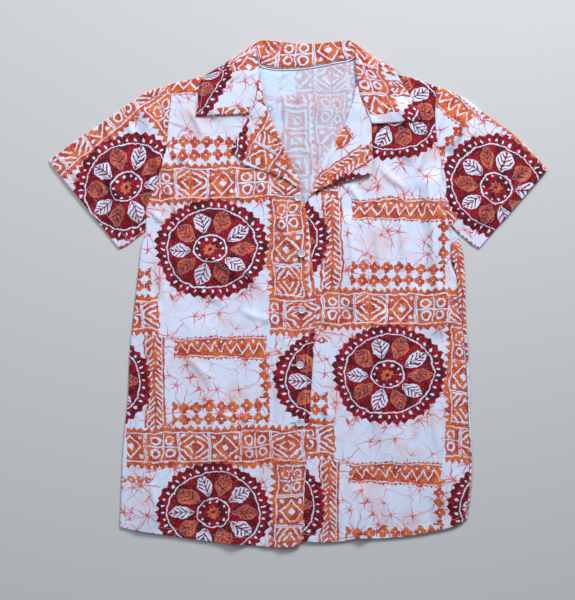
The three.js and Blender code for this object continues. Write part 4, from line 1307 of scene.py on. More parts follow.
def hole_routes(x, y):
    """Both sides of a buttonhole, and the bars at its ends."""
    start, end = x - HOLE_LENGTH + HOLE_PAST_BUTTON, x + HOLE_PAST_BUTTON
    routes = []
    for side in (-1, 1):
        line_x = np.linspace(start, end, 12)
        line_y = np.full_like(line_x, y + side * SATIN_GAP)
        routes.append(np.stack([line_x, line_y, front_surface(line_x, line_y) + SATIN_LIFT], axis=1))
    for place in (start, end):
        line_y = np.linspace(y - BAR_HALF, y + BAR_HALF, 5)
        line_x = np.full_like(line_y, place)
        routes.append(np.stack([line_x, line_y, front_surface(line_x, line_y) + BAR_LIFT], axis=1))
    return routes


satin_routes = [route for x, y in BUTTONS for route in hole_routes(x, y)]
buttonhole_stitching = lay_stitches("stitching_buttonholes", satin_routes, **SATIN_SIZES)
print("buttonhole faces:", len(buttonhole_stitching.data.polygons))

# %% Painted shade in the slits between the stitches
SLIT_STEPS = 12
SLIT_END_HALF, SLIT_EXTRA_HALF = 0.08, 0.55
SLIT_BLUNTNESS = 0.6
SLIT_CORNERS = ((-1, 0.12), (1, 0.12), (1, 0.02), (-1, 0.02))


def build_slit_shades():
    """A narrow dark sheet in each buttonhole, pointed at both ends: painted shade where the slit opens.
    """
    points, faces = [], []
    for x, y in BUTTONS:
        start = x - HOLE_LENGTH + HOLE_PAST_BUTTON
        first = len(points)
        for share in np.linspace(0, 1, SLIT_STEPS + 1):
            line_x = start + share * HOLE_LENGTH
            half = SLIT_END_HALF + SLIT_EXTRA_HALF * math.sin(math.pi * share) ** SLIT_BLUNTNESS
            for side, rise in SLIT_CORNERS:
                line_y = y + side * half
                points.append((line_x, line_y, float(front_surface(line_x, line_y)) + rise))
        for k in range(SLIT_STEPS):
            a, b = first + 4 * k, first + 4 * k + 4
            for side, after in ((0, 1), (1, 2), (2, 3), (3, 0)):
                faces.append((a + side, b + side, b + after, a + after))
        last = first + 4 * SLIT_STEPS
        faces += [(first, first + 1, first + 2, first + 3), (last + 3, last + 2, last + 1, last)]
    return add_piece("buttonhole_slit_shades", mesh_in_frame("buttonhole_slit_shades", points, [], faces))


slit_shades = build_slit_shades()
print("slit faces:", len(slit_shades.data.polygons))

# %% [markdown]
# ## Buttons
#
# A small four-hole button has a raised rim, a dished middle and rounded edges. It is turned
# as a profile, its holes are cut by a Boolean, and two threads cross the holes.

# %% Buttons
BUTTON_PROFILE = (
    (0.0, 0.0), (4.3, 0.0), (5.2, 0.25), (5.6, 0.7), (5.7, 1.15), (5.6, 1.6), (5.3, 1.95),
    (4.9, 2.1), (4.5, 2.02), (4.2, 1.75), (3.8, 1.5), (3.2, 1.4), (0.0, 1.38),
)
BUTTON_SIDES = 48
HOLE_SPREAD = 1.25
HOLE_RADIUS = 0.62
DRILL_SIDES = 14
DRILL_FROM, DRILL_TO = -1.0, 4.0


def turned_body(name, profile, sides):
    """A closed body turned about the Z axis from a profile of radius and height."""
    mesh = bpy.data.meshes.new(name)
    points, faces = [(0, 0, profile[0][1])], []
    for radius, height in profile[1:-1]:
        for k in range(sides):
            angle = 2 * math.pi * k / sides
            points.append((radius * math.cos(angle), radius * math.sin(angle), height))
    points.append((0, 0, profile[-1][1]))
    last = len(points) - 1
    rings = len(profile) - 2
    for k in range(sides):
        after = (k + 1) % sides
        faces.append((0, 1 + after, 1 + k))
        for ring in range(rings - 1):
            low, high = 1 + ring * sides, 1 + (ring + 1) * sides
            faces.append((low + k, low + after, high + after, high + k))
        top = 1 + (rings - 1) * sides
        faces.append((top + k, top + after, last))
    mesh.from_pydata([(x * MM, y * MM, z * MM) for x, y, z in points], [], faces)
    return add_piece(name, mesh)


def drilled_button():
    """The mesh of one button with four holes."""
    body = turned_body("button_blank", BUTTON_PROFILE, BUTTON_SIDES)
    drill_profile = ((0, DRILL_FROM), (HOLE_RADIUS, DRILL_FROM), (HOLE_RADIUS, DRILL_TO), (0, DRILL_TO))
    drills = []
    for x, y in ((1, 1), (-1, 1), (-1, -1), (1, -1)):
        drill = turned_body("drill", drill_profile, DRILL_SIDES)
        for vertex in drill.data.vertices:
            vertex.co.x += x * HOLE_SPREAD * MM
            vertex.co.y += y * HOLE_SPREAD * MM
        cut = body.modifiers.new("Hole", "BOOLEAN")
        cut.operation = "DIFFERENCE"
        cut.solver = "EXACT"
        cut.object = drill
        drills.append(drill)
    mesh = mesh_with_modifiers(body)
    for item in (body, *drills):
        bpy.data.objects.remove(item)
    return mesh


button_mesh = drilled_button()
print("faces of a button:", len(button_mesh.polygons))

# %% Buttons in their places, and their thread
BUTTON_TILTS = ((0.5, -1.0, 20), (-1.0, 0.6, 48), (0.8, 0.8, 5), (-0.6, -0.9, 66), (0.4, 1.1, 33))
SHARP_ANGLE = 40
THREAD_RADIUS = 0.3
THREAD_BOW = (
    (-HOLE_SPREAD, -0.6), (-HOLE_SPREAD, 1.25), (-HOLE_SPREAD * 0.7, 1.62), (0, 1.72),
    (HOLE_SPREAD * 0.7, 1.62), (HOLE_SPREAD, 1.25), (HOLE_SPREAD, -0.6),
)
NECK_EDGE_RADIUS = 0.85
NECK_EDGE_SHIFT = (0.0, -0.7, 0.15)
NECK_EDGE_STEPS = 160


def place_button(number):
    """A button in the place of its solid, tilted a little, and the two threads across it."""
    low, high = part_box(f"button_{number}")
    tilt_x, tilt_y, turn = (math.radians(angle) for angle in BUTTON_TILTS[number - 1])
    place = Matrix.Translation(Vector(((low[0] + high[0]) / 2, (low[1] + high[1]) / 2, low[2])))
    place = place @ Matrix.Rotation(tilt_x, 4, "X") @ Matrix.Rotation(tilt_y, 4, "Y")
    place = place @ Matrix.Rotation(turn, 4, "Z")
    mesh = button_mesh.copy()
    mesh.name = f"button_{number}_pearl"
    mesh.transform(place)
    mesh.polygons.foreach_set("use_smooth", [True] * len(mesh.polygons))
    mesh.set_sharp_from_angle(angle=math.radians(SHARP_ANGLE))
    threads = []
    for side in (-HOLE_SPREAD, HOLE_SPREAD):
        bow = [place @ Vector((x * MM, side * MM, z * MM)) for x, z in THREAD_BOW]
        threads.append(np.array(bow) / MM - cloth_shift)
    return add_piece(mesh.name, mesh), threads


def thread_tubes(name, lines, radius, sides=7, steps=22):
    """Closed tubes along lines in mm."""
    points, faces = [], []
    for line in lines:
        line = along(short_curve(line), np.linspace(0, 1, steps))
        course = np.gradient(line, axis=0)
        course /= np.linalg.norm(course, axis=1)[:, None]
        sideways = np.cross(course, (0.0, 0.03, 1.0))
        upright = np.linalg.norm(sideways, axis=1)[:, None] < 0.2
        sideways = np.where(upright, (0.0, 1.0, 0.0), sideways)
        sideways /= np.linalg.norm(sideways, axis=1)[:, None]
        upward = np.cross(sideways, course)
        first = len(points)
        for centre, side, up in zip(line, sideways, upward):
            for k in range(sides):
                angle = 2 * math.pi * k / sides
                points.append(centre + radius * (math.cos(angle) * side + math.sin(angle) * up))
        for ring in range(len(line) - 1):
            for k in range(sides):
                a, b = first + ring * sides + k, first + ring * sides + (k + 1) % sides
                faces.append((a, b, b + sides, a + sides))
        faces.append(tuple(first + k for k in reversed(range(sides))))
        faces.append(tuple(len(points) - sides + k for k in range(sides)))
    mesh = mesh_in_frame(name, points, [], faces)
    mesh.polygons.foreach_set("use_smooth", [True] * len(mesh.polygons))
    return add_piece(name, mesh)


placed = [place_button(number) for number in range(1, len(BUTTONS) + 1)]
buttons = [button for button, _ in placed]
thread_lines = [line for _, lines in placed for line in lines]
button_thread = thread_tubes("button_thread", thread_lines, THREAD_RADIUS)
neck_edge = thread_tubes(
    "neck_seam_edge", [neck_edge_line + NECK_EDGE_SHIFT], NECK_EDGE_RADIUS, steps=NECK_EDGE_STEPS,
)
print("buttons:", len(buttons), "thread faces:", len(button_thread.data.polygons))

# %% [markdown]
# ## The print
#
# The cloth is white cotton printed like a batik: broad orange bands of carved shapes, round
# maroon rosettes, small ornaments in rows, and thin red veins where dye ran into cracked wax.
# The design is made of numbers: each motif is a distance or an angle worked out by Math
# nodes from the place on the uncut cloth in millimetres. It repeats as a half-drop.

# %% Arithmetic that becomes nodes
REPEAT_WIDTH = 360.0
REPEAT_HEIGHT = 400.0
SOFT_EDGE = 0.35


class Amount:
    """A number that varies over the cloth. Arithmetic on it adds Math nodes to its tree."""

    def __init__(self, tree, socket):
        self.tree = tree
        self.socket = socket

    def node(self, operation, *others):
        """The result of one Math node on this amount and others."""
        made = self.tree.nodes.new("ShaderNodeMath")
        made.operation = operation
        for slot, value in zip(made.inputs, (self, *others)):
            if isinstance(value, Amount):
                self.tree.links.new(value.socket, slot)
            else:
                slot.default_value = value
        return Amount(self.tree, made.outputs[0])

    def __add__(self, other):
        return self.node("ADD", other)

    def __sub__(self, other):
        return self.node("SUBTRACT", other)

    def __mul__(self, other):
        return self.node("MULTIPLY", other)

    def __truediv__(self, other):
        return self.node("DIVIDE", other)

    def from_number(self, number):
        """The number less this amount."""
        return self.node("MULTIPLY_ADD", -1.0, number)

    def size(self):
        return self.node("ABSOLUTE")

    def near(self, period):
        """Distance from the nearest multiple of a period."""
        return self.node("PINGPONG", period / 2)

    def wrapped(self, period):
        """The amount brought between minus and plus half a period."""
        return self.node("WRAP", period / 2, -period / 2)

    def lower(self, other):
        return self.node("MINIMUM", other)

    def higher(self, other):
        return self.node("MAXIMUM", other)

    def odd(self):
        """1 in every second cell, where the cells are 1 wide and centred on whole numbers."""
        return (self + 0.5).node("FLOOR").node("FLOORED_MODULO", 2.0)

    def below(self, edge, soft=SOFT_EDGE):
        """1 where the amount is less than an edge, with a soft change across it."""
        made = self.tree.nodes.new("ShaderNodeMapRange")
        self.tree.links.new(self.socket, made.inputs["Value"])
        made.inputs["From Min"].default_value = edge - soft
        made.inputs["From Max"].default_value = edge + soft
        made.inputs["To Min"].default_value = 1.0
        made.inputs["To Max"].default_value = 0.0
        return Amount(self.tree, made.outputs["Result"])

    def inverse(self):
        """1 where the amount is 0, and 0 where it is 1."""
        return self.from_number(1.0)


def far(a, b):
    """Distance in a plane from two distances along its axes."""
    return (a * a + b * b).node("SQRT")


def new_group(name, inputs, outputs):
    """A shader node group with its named sockets, and its inputs as amounts."""
    tree = bpy.data.node_groups.new(name, "ShaderNodeTree")
    for label, kind, value in inputs:
        socket = tree.interface.new_socket(label, in_out="INPUT", socket_type=kind)
        socket.default_value = value
    for label, kind in outputs:
        tree.interface.new_socket(label, in_out="OUTPUT", socket_type=kind)
    given = tree.nodes.new("NodeGroupInput")
    amounts = {label: Amount(tree, given.outputs[label]) for label, _, _ in inputs}
    return tree, amounts


def close_group(tree, **results):
    """The finished group, with amounts on its outputs."""
    result = tree.nodes.new("NodeGroupOutput")
    for label, amount in results.items():
        tree.links.new(amount.socket, result.inputs[label])
    return tree


def use_group(tree, group, **amounts):
    """A group placed in a tree, with amounts or plain values on its inputs."""
    made = tree.nodes.new("ShaderNodeGroup")
    made.node_tree = group
    for label, value in amounts.items():
        if isinstance(value, Amount):
            tree.links.new(value.socket, made.inputs[label])
        else:
            made.inputs[label].default_value = value
    return made


def noise(tree, place, size, detail=2.0, output="Fac"):
    """Noise whose blotches are about size millimetres across."""
    made = tree.nodes.new("ShaderNodeTexNoise")
    made.noise_dimensions = "2D"
    tree.links.new(place, made.inputs["Vector"])
    made.inputs["Scale"].default_value = 1.0 / size
    made.inputs["Detail"].default_value = detail
    return Amount(tree, made.outputs[output])


def vector_math(tree, operation, first, second):
    """The result of one Vector Math node on sockets or plain vectors."""
    made = tree.nodes.new("ShaderNodeVectorMath")
    made.operation = operation
    for slot, value in zip(made.inputs, (first, second)):
        if isinstance(value, tuple):
            slot.default_value = value
        else:
            tree.links.new(value, slot)
    return made.outputs["Vector"]


def parts_of(tree, vector):
    """The X and the Y of a vector, as amounts."""
    parts = tree.nodes.new("ShaderNodeSeparateXYZ")
    tree.links.new(vector, parts.inputs["Vector"])
    return Amount(tree, parts.outputs["X"]), Amount(tree, parts.outputs["Y"])


def shaken(tree, start, place, size, reach):
    """A place moved unevenly, by noise of a size in mm and up to half a reach in mm."""
    shake = noise(tree, place, size, output="Color").socket
    centred = vector_math(tree, "SUBTRACT", shake, (0.5, 0.5, 0.5))
    return vector_math(tree, "ADD", start, vector_math(tree, "MULTIPLY", centred, (reach, reach, 0.0)))


FLOAT = "NodeSocketFloat"
PLACE_INPUTS = [("X", FLOAT, 0.0), ("Y", FLOAT, 0.0)]
print("the print repeats every", REPEAT_WIDTH, "by", REPEAT_HEIGHT, "mm")

# %% Place on the cloth, with the uneven edges of a hand-cut print
HAND_CUT = ((3.4, 1.9), (10.0, 5.0), (55.0, 14.0))


def cloth_place_group():
    sockets = [("Place", "NodeSocketVector"), ("X", FLOAT), ("Y", FLOAT)]
    tree, _ = new_group("Place on the cloth", [], sockets)
    cloth_map = tree.nodes.new("ShaderNodeUVMap")
    cloth_map.uv_map = "cloth"
    place = vector_math(tree, "MULTIPLY", cloth_map.outputs["UV"], (1 / MM, 1 / MM, 0.0))
    uneven = place
    for size, reach in HAND_CUT:
        uneven = shaken(tree, uneven, place, size, reach)
    x, y = parts_of(tree, uneven)
    return close_group(tree, Place=Amount(tree, place), X=x, Y=y)


CLOTH_PLACE = cloth_place_group()
print("nodes for the place:", len(CLOTH_PLACE.nodes))

# %% Rosettes in a half-drop
ROSETTE_CENTRE = (92.0, 100.0)
ROSETTE_STRETCH = 1.15
ROSETTE_RADIUS = 77.0
DROP_RADIUS = 66.0
RING_RADIUS = 60.5
LEAF_RADIUS, LEAF_HALF = 41.0, 17.0
LEAF_FULLNESS = 0.26
RIB_PITCH = 6.8
INNER_RING_RADIUS = 21.0
SEED_RADIUS = 16.5
HEART_RADIUS = 9.0
LEAVES = 10
LEAF_ANGLE = 2 * math.pi / LEAVES
PETAL_ANGLE = 2 * math.pi / 8


def rosette_group():
    """A scalloped disc with drops, a ring, a wreath of leaves, seeds and a flower in it."""
    sockets = [("Maroon", FLOAT), ("Orange", FLOAT), ("Disc", FLOAT)]
    tree, given = new_group("Rosettes", PLACE_INPUTS, sockets)
    across = (given["X"] - ROSETTE_CENTRE[0]) / (REPEAT_WIDTH / 2)
    drop = across.odd() * (REPEAT_HEIGHT / 2)
    dx = (given["X"] - ROSETTE_CENTRE[0]).wrapped(REPEAT_WIDTH / 2) / ROSETTE_STRETCH
    dy = (given["Y"] - drop - ROSETTE_CENTRE[1]).wrapped(REPEAT_HEIGHT)
    radius = far(dx, dy)
    angle = dy.node("ARCTAN2", dx)
    beside = angle.near(LEAF_ANGLE) * radius
    rim_beside = angle.near(LEAF_ANGLE / 4) * radius
    disc = (radius + rim_beside * 0.8).below(ROSETTE_RADIUS)
    drops = far(radius - DROP_RADIUS, rim_beside * 1.6).below(2.5)
    ring = (radius - RING_RADIUS).size().below(0.8)
    height = (radius - LEAF_RADIUS) / LEAF_HALF
    leaf_width = (height * height).from_number(1.0) * (radius * LEAF_FULLNESS)
    leaf_edge = beside - leaf_width
    ribs = (radius - beside * 1.1).near(RIB_PITCH).below(1.35).lower(leaf_edge.below(-1.6))
    leaf = leaf_edge.below(0.0).lower(beside.below(0.8).higher(ribs).inverse())
    odd_leaf = (angle / LEAF_ANGLE).odd()
    inner_ring = (radius - INNER_RING_RADIUS).size().below(0.9)
    seeds = far(radius - SEED_RADIUS, beside * 1.2).below(1.8)
    flower = (radius + angle.near(PETAL_ANGLE) * HEART_RADIUS).below(HEART_RADIUS)
    heart = flower.lower(radius.below(3.0).inverse())
    white = drops.higher(ring).higher(inner_ring).higher(seeds)
    white = white.higher(leaf.lower(odd_leaf))
    orange = leaf.lower(odd_leaf.inverse()).higher(heart)
    maroon = disc.lower(white.higher(orange).inverse())
    return close_group(tree, Maroon=maroon, Orange=orange, Disc=disc)


ROSETTES = rosette_group()
print("nodes for the rosettes:", len(ROSETTES.nodes))

# %% Rows that both bands and ornaments use


def row(given, centre_x, centre_y, half_length, upright):
    """Distances along and across one row of the repeat, and where the row is."""
    dx = (given["X"] - centre_x).wrapped(REPEAT_WIDTH)
    dy = (given["Y"] - centre_y).wrapped(REPEAT_HEIGHT)
    s, t = (dy, dx) if upright else (dx, dy)
    return s, t, s.size().below(half_length)


# %% Broad bands of carved shapes
BAND_HALF = 31.0
BAND_CELL = 48.0
TOOTH_PITCH = 10.5
RAIL_PLACE = 21.8
POST_PLACE = 22.6
LINE_HALF = 0.95
CARVED_HALF = 19.4
# Middle of each row along X and Y, its half length, and whether it stands upright.
BAND_ROWS = (
    (110.0, 200.0, 150.0, False), (275.0, 0.0, 96.0, False), (208.0, 100.0, 72.0, True),
)


def carved_band(along_it, across_it):
    """Where orange is printed in a broad band: three kinds of cell in turn between two rails."""
    t = across_it.size()
    u = along_it.wrapped(BAND_CELL).size()
    body = (t + along_it.near(TOOTH_PITCH) * 1.3).below(BAND_HALF + 2.0)
    rails = (t - RAIL_PLACE).size().below(LINE_HALF)
    posts = (u - POST_PLACE).size().below(LINE_HALF).lower(t.below(RAIL_PLACE))
    frames = (u + t - 17.5).size().below(1.7).higher((u + t).below(6.0))
    frames = frames.higher(far(u - 16.5, t - 14.0).below(3.0))
    cross = u.lower(t).below(1.1).lower((u + t).below(22.0))
    rings = (far(u - 10.2, t - 9.4) - 5.6).size().below(1.5).higher(cross)
    combs = (u * 0.7 + t).near(9.4).below(1.7).lower(u.below(1.8).inverse())
    kind = (along_it / BAND_CELL + 0.5).node("FLOOR").node("FLOORED_MODULO", 3.0)
    carved = frames.lower(kind.below(0.5, 0.1))
    carved = carved.higher(rings.lower((kind - 1.0).size().below(0.5, 0.1)))
    carved = carved.higher(combs.lower(kind.from_number(2.0).below(0.5, 0.1)))
    carved = carved.lower(t.below(CARVED_HALF))
    return body.lower(carved.higher(rails).higher(posts).inverse())


def band_group():
    tree, given = new_group("Broad bands", PLACE_INPUTS, [("Orange", FLOAT)])
    along_it, across_it, inside = row(given, *BAND_ROWS[0])
    for place in BAND_ROWS[1:]:
        s, t, here = row(given, *place)
        here = here.lower(t.size().below(BAND_HALF + 3.0))
        choice = here.node("GREATER_THAN", 0.5)
        along_it = along_it + (s - along_it) * choice
        across_it = across_it + (t - across_it) * choice
        inside = inside.higher(here)
    return close_group(tree, Orange=carved_band(along_it, across_it).lower(inside))


BANDS = band_group()
print("nodes for the bands:", len(BANDS.nodes))

# %% Small ornaments in rows


def blossoms(along_it, across_it):
    """Flowers of four full petals, one in every 18 mm."""
    u = along_it.near(18.0)
    t = across_it.size()
    long_side = (u.higher(t) - 4.6) / 4.1
    short_side = u.lower(t) / 3.9
    return far(long_side, short_side).below(1.0, 0.12).lower(far(u, t).below(1.3).inverse())


def double_blossoms(along_it, across_it):
    """Two rows of flowers side by side."""
    return blossoms(along_it, across_it.size() - 9.2)


def zigzag(along_it, across_it):
    """A band with a zigzag left white between two rails."""
    t = across_it.size()
    line = (across_it - along_it.near(17.0) * 1.7 + 7.2).size().below(1.9)
    dots = far(along_it.near(17.0), across_it - 8.6).below(2.0)
    rails = (t - 14.4).size().below(0.8)
    return (t + along_it.near(7.0) * 0.8).below(18.6).lower(line.higher(dots).higher(rails).inverse())


def fret(along_it, across_it):
    """Squares within squares, opened by a step on one side."""
    u = along_it.wrapped(36.0)
    square = u.size().higher(across_it.size() * 0.9)
    rings = square.near(9.0).below(2.7)
    step = (u - across_it).size().below(2.4).lower(square.below(12.5))
    return rings.higher(step).lower(across_it.size().below(21.0))


def fishbone(along_it, across_it):
    """Slanting bars on both sides of a stem, between two rails."""
    t = across_it.size()
    bars = (along_it + t * 0.9).near(9.0).below(2.8).lower(t.below(11.0))
    rails = (t - 14.0).size().below(1.5)
    return bars.higher(t.below(1.6)).higher(rails).lower(t.below(15.5))


def beads(along_it, across_it):
    """Rings between dots."""
    ring = (far(along_it.near(13.0), across_it) - 3.6).size().below(1.5)
    return ring.higher(far(along_it.near(13.0) - 6.5, across_it).below(1.4))


ORNAMENT_ROWS = (
    (double_blossoms, (104.0, 252.0, 73.0, False)), (blossoms, (172.0, 306.0, 36.0, True)),
    (zigzag, (104.0, 350.0, 70.0, False)), (fret, (264.0, 100.0, 72.0, True)),
    (fishbone, (364.0, 300.0, 68.0, True)), (beads, (326.0, 152.0, 34.0, False)),
    (double_blossoms, (324.0, 54.0, 36.0, False)),
)


def ornament_group():
    tree, given = new_group("Small ornaments", PLACE_INPUTS, [("Orange", FLOAT)])
    orange = None
    for ornament, place in ORNAMENT_ROWS:
        s, t, inside = row(given, *place)
        shape = ornament(s, t).lower(inside)
        orange = shape if orange is None else orange.higher(shape)
    return close_group(tree, Orange=orange)


ORNAMENTS = ornament_group()
print("nodes for the ornaments:", len(ORNAMENTS.nodes))

# %% [markdown]
# ### Veins in the white ground
#
# Batik wax cracks, and dye gets into the cracks. The edges of large cells give broken lines,
# and stars of tapering lines, uneven in number and length, stand where several cracks met.

# %% Veins and stars
# Of each kind of star: cell in mm, number of rays, longest ray in mm, and turn.
BURSTS = ((66.0, 9, 64.0, 0.0), (49.0, 7, 40.0, 1.0), (41.0, 5, 30.0, 2.0))
VEIN_CELL = 47.0
VEIN_BEND = (32.0, 19.0)
SCATTER = (12.9, 78.0, 437.5)


def cells(tree, place, size, feature, output):
    """One output of a Voronoi pattern with cells of a size in mm."""
    made = tree.nodes.new("ShaderNodeTexVoronoi")
    made.voronoi_dimensions = "2D"
    made.feature = feature
    tree.links.new(place, made.inputs["Vector"])
    made.inputs["Scale"].default_value = 1.0 / size
    return made.outputs[output]


def burst(tree, place, size, rays, reach, turn):
    """Lines of uneven length that run out from a point in every cell."""
    centre = cells(tree, place, size, "F1", "Position")
    away = vector_math(tree, "SUBTRACT", centre, vector_math(tree, "MULTIPLY", place, (1.0, 1.0, 0.0)))
    dx, dy = parts_of(tree, away)
    kind = tree.nodes.new("ShaderNodeTexWhiteNoise")
    kind.noise_dimensions = "2D"
    tree.links.new(centre, kind.inputs["Vector"])
    chance = Amount(tree, kind.outputs["Value"])
    radius = far(dx, dy)
    ray_angle = 2 * math.pi / rays
    sector = (dy.node("ARCTAN2", dx) + chance * 6.0 + turn) / ray_angle
    beside = sector.near(1.0) * radius * ray_angle
    ray = (sector + 0.5).node("FLOOR").node("FLOORED_MODULO", float(rays))
    mixed = ray * SCATTER[0] + chance * SCATTER[1]
    length = (mixed.node("SINE") * SCATTER[2]).node("FRACT") * reach * (chance * 0.6 + 0.5) + 3.0
    width = (radius / length).from_number(1.0) * 0.85
    return (beside - width).below(0.0, 0.3).higher(radius.below(1.4, 0.5))


def vein_group():
    tree, _ = new_group("Veins", [], [("Vein", FLOAT)])
    place = use_group(tree, CLOTH_PLACE).outputs["Place"]
    bent = shaken(tree, place, place, *VEIN_BEND)
    edge = Amount(tree, cells(tree, bent, VEIN_CELL, "DISTANCE_TO_EDGE", "Distance")) * VEIN_CELL
    veins = edge.below(0.35, 0.45) * noise(tree, place, 30.0).below(0.5, 0.06) * 0.75
    for size, rays, reach, turn in BURSTS:
        veins = veins.higher(burst(tree, bent, size, rays, reach, turn))
    return close_group(tree, Vein=veins)


VEINS = vein_group()
print("nodes for the veins:", len(VEINS.nodes))

# %% The whole print
WHITE_COTTON = (0.77, 0.82, 0.96)
WRONG_SIDE_WHITE = (0.66, 0.81, 0.95)
BLUSH = (0.82, 0.52, 0.46)
VEIN_RED = (0.74, 0.085, 0.065)
ORANGES = ((0.49, 0.05, 0.016), (0.74, 0.155, 0.026))
EDGE_RED = (0.36, 0.03, 0.02)
MAROONS = ((0.12, 0.002, 0.005), (0.32, 0.004, 0.014))


def blend_colours(tree, first, second, share):
    """Colours mixed by an amount or a number."""
    made = tree.nodes.new("ShaderNodeMix")
    made.data_type = "RGBA"
    for label, value in (("A", first), ("B", second)):
        slot = next(s for s in made.inputs if s.name == label and s.type == "RGBA")
        if isinstance(value, tuple):
            slot.default_value = (*value, 1.0)
        else:
            tree.links.new(value, slot)
    if isinstance(share, Amount):
        tree.links.new(share.socket, made.inputs["Factor"])
    else:
        made.inputs["Factor"].default_value = share
    return next(s for s in made.outputs if s.type == "RGBA")


def print_group():
    """All motifs over each other: ground, blushes, veins, bands with ornaments, rosettes."""
    tree, given = new_group(
        "Batik print",
        [("Strength", FLOAT, 1.0), ("Ground", "NodeSocketColor", (*WHITE_COTTON, 1.0))],
        [("Color", "NodeSocketColor")],
    )
    place = use_group(tree, CLOTH_PLACE)
    x, y = Amount(tree, place.outputs["X"]), Amount(tree, place.outputs["Y"])
    flat = place.outputs["Place"]
    strength = given["Strength"]
    blush = noise(tree, flat, 46.0, 3.0).below(0.39, 0.09) * 0.5
    ground = given["Ground"].socket
    colour = blend_colours(tree, ground, BLUSH, blush * strength)
    vein = Amount(tree, use_group(tree, VEINS).outputs["Vein"])
    colour = blend_colours(tree, colour, VEIN_RED, vein * strength * 0.95)
    tone = noise(tree, flat, 16.0, 5.0).below(0.5, 0.1)
    oranges = blend_colours(tree, *ORANGES, tone)
    missed = noise(tree, flat, 2.6, 3.0).below(0.35, 0.03)
    band = Amount(tree, use_group(tree, BANDS, X=x, Y=y).outputs["Orange"])
    orange = band.higher(Amount(tree, use_group(tree, ORNAMENTS, X=x, Y=y).outputs["Orange"]))
    inner = blend_colours(tree, EDGE_RED, oranges, orange * orange)
    colour = blend_colours(tree, colour, inner, orange * (missed * 0.45).inverse() * strength)
    rosette = use_group(tree, ROSETTES, X=x, Y=y)
    disc = Amount(tree, rosette.outputs["Disc"])
    petals = Amount(tree, rosette.outputs["Orange"])
    maroon = Amount(tree, rosette.outputs["Maroon"])
    maroons = blend_colours(tree, *MAROONS, tone)
    colour = blend_colours(tree, colour, ground, disc)
    colour = blend_colours(tree, colour, oranges, petals * (missed * 0.3).inverse() * strength)
    colour = blend_colours(tree, colour, maroons, maroon * (missed * 0.12).inverse() * strength)
    return close_group(tree, Color=Amount(tree, colour))


PRINT = print_group()
print("nodes for the print:", len(PRINT.nodes))

# %% [markdown]
# ### Cloth finish
#
# Plain-weave cotton is matt with a faint sheen from its loose fibres. The weave and the
# thicker threads in it are only felt as fine relief, so they go into a bump.

# %% Weave, and the cloth materials
SLUB_SIZE = 1.4
SLUB_DRAW = 0.12
WEAVE_SHARE = 0.25


def weave_group():
    """Height of the threads, with some thicker ones drawn out both ways."""
    tree, given = new_group("Plain weave", [("Thread width", FLOAT, 0.8)], [("Height", FLOAT)])
    place = use_group(tree, CLOTH_PLACE).outputs["Place"]
    x, y = (part / given["Thread width"] for part in parts_of(tree, place))
    over = (x * math.pi).node("SINE") * (y * math.pi).node("SINE")
    slubs = [
        noise(tree, vector_math(tree, "MULTIPLY", place, stretch), SLUB_SIZE)
        for stretch in ((SLUB_DRAW, 1.0, 0.0), (1.0, SLUB_DRAW, 0.0))
    ]
    return close_group(tree, Height=over * WEAVE_SHARE + (slubs[0] + slubs[1]))


WEAVE = weave_group()


def new_material(name, **values):
    """A new or named material with plain values on its shader, whose labels have underscores."""
    material = bpy.data.materials.get(name) or bpy.data.materials.new(name)
    material.use_nodes = True
    shader = material.node_tree.nodes["Principled BSDF"]
    for label, value in values.items():
        shader.inputs[label.replace("_", " ")].default_value = value
    return material, material.node_tree, shader


def add_bump(tree, shader, height, strength, distance):
    bump = tree.nodes.new("ShaderNodeBump")
    bump.inputs["Strength"].default_value = strength
    bump.inputs["Distance"].default_value = distance
    tree.links.new(height, bump.inputs["Height"])
    tree.links.new(bump.outputs["Normal"], shader.inputs["Normal"])


def cloth_material(name, strength, ground, roughness):
    material, tree, shader = new_material(
        name, Roughness=roughness, Specular_IOR_Level=0.2, Sheen_Weight=0.05, Sheen_Roughness=0.5,
    )
    dyed = use_group(tree, PRINT, Strength=strength, Ground=(*ground, 1.0))
    tree.links.new(dyed.outputs["Color"], shader.inputs["Base Color"])
    add_bump(tree, shader, use_group(tree, WEAVE).outputs["Height"], 0.5, 0.0004)
    return material


RIGHT_SIDE_COTTON = cloth_material("printed_cotton_right_side", 1.0, WHITE_COTTON, 0.82)
WRONG_SIDE_COTTON = cloth_material("printed_cotton_wrong_side", 0.44, WRONG_SIDE_WHITE, 0.88)
cloth_pieces = [
    back, front_right, front_left, sleeve_right, sleeve_left, lapel_right, lapel_left, collar,
]
for piece in cloth_pieces:
    piece.data.materials.append(RIGHT_SIDE_COTTON)
    piece.data.materials.append(WRONG_SIDE_COTTON)
print("cloth materials on", len(cloth_pieces), "pieces")

# %% Thread, plain cotton, slit and button materials


def mottle(tree, shader, scale, dark, light, detail=2.0):
    """Fine blotches between two colours on the shader, and the noise that makes them."""
    place = tree.nodes.new("ShaderNodeTexCoord").outputs["Object"]
    blotches = tree.nodes.new("ShaderNodeTexNoise")
    blotches.inputs["Scale"].default_value = scale
    blotches.inputs["Detail"].default_value = detail
    tree.links.new(place, blotches.inputs["Vector"])
    shade = Amount(tree, blotches.outputs["Fac"])
    tree.links.new(blend_colours(tree, dark, light, shade), shader.inputs["Base Color"])
    return shade


def thread_material():
    """White sewing thread with a fine twist."""
    material, tree, shader = new_material("sewing_thread", Roughness=0.6, Sheen_Weight=0.2)
    twist = mottle(tree, shader, 900.0, (0.62, 0.6, 0.62), (0.86, 0.86, 0.9))
    add_bump(tree, shader, twist.socket, 1.0, 0.0001)
    return material


def plain_cotton_material():
    """White cotton with no print, for the turned edge of the neck seam."""
    material, tree, shader = new_material("plain_white_cotton", Roughness=0.85, Specular_IOR_Level=0.2)
    mottle(tree, shader, 700.0, (0.72, 0.74, 0.84), (0.88, 0.91, 0.98))
    return material


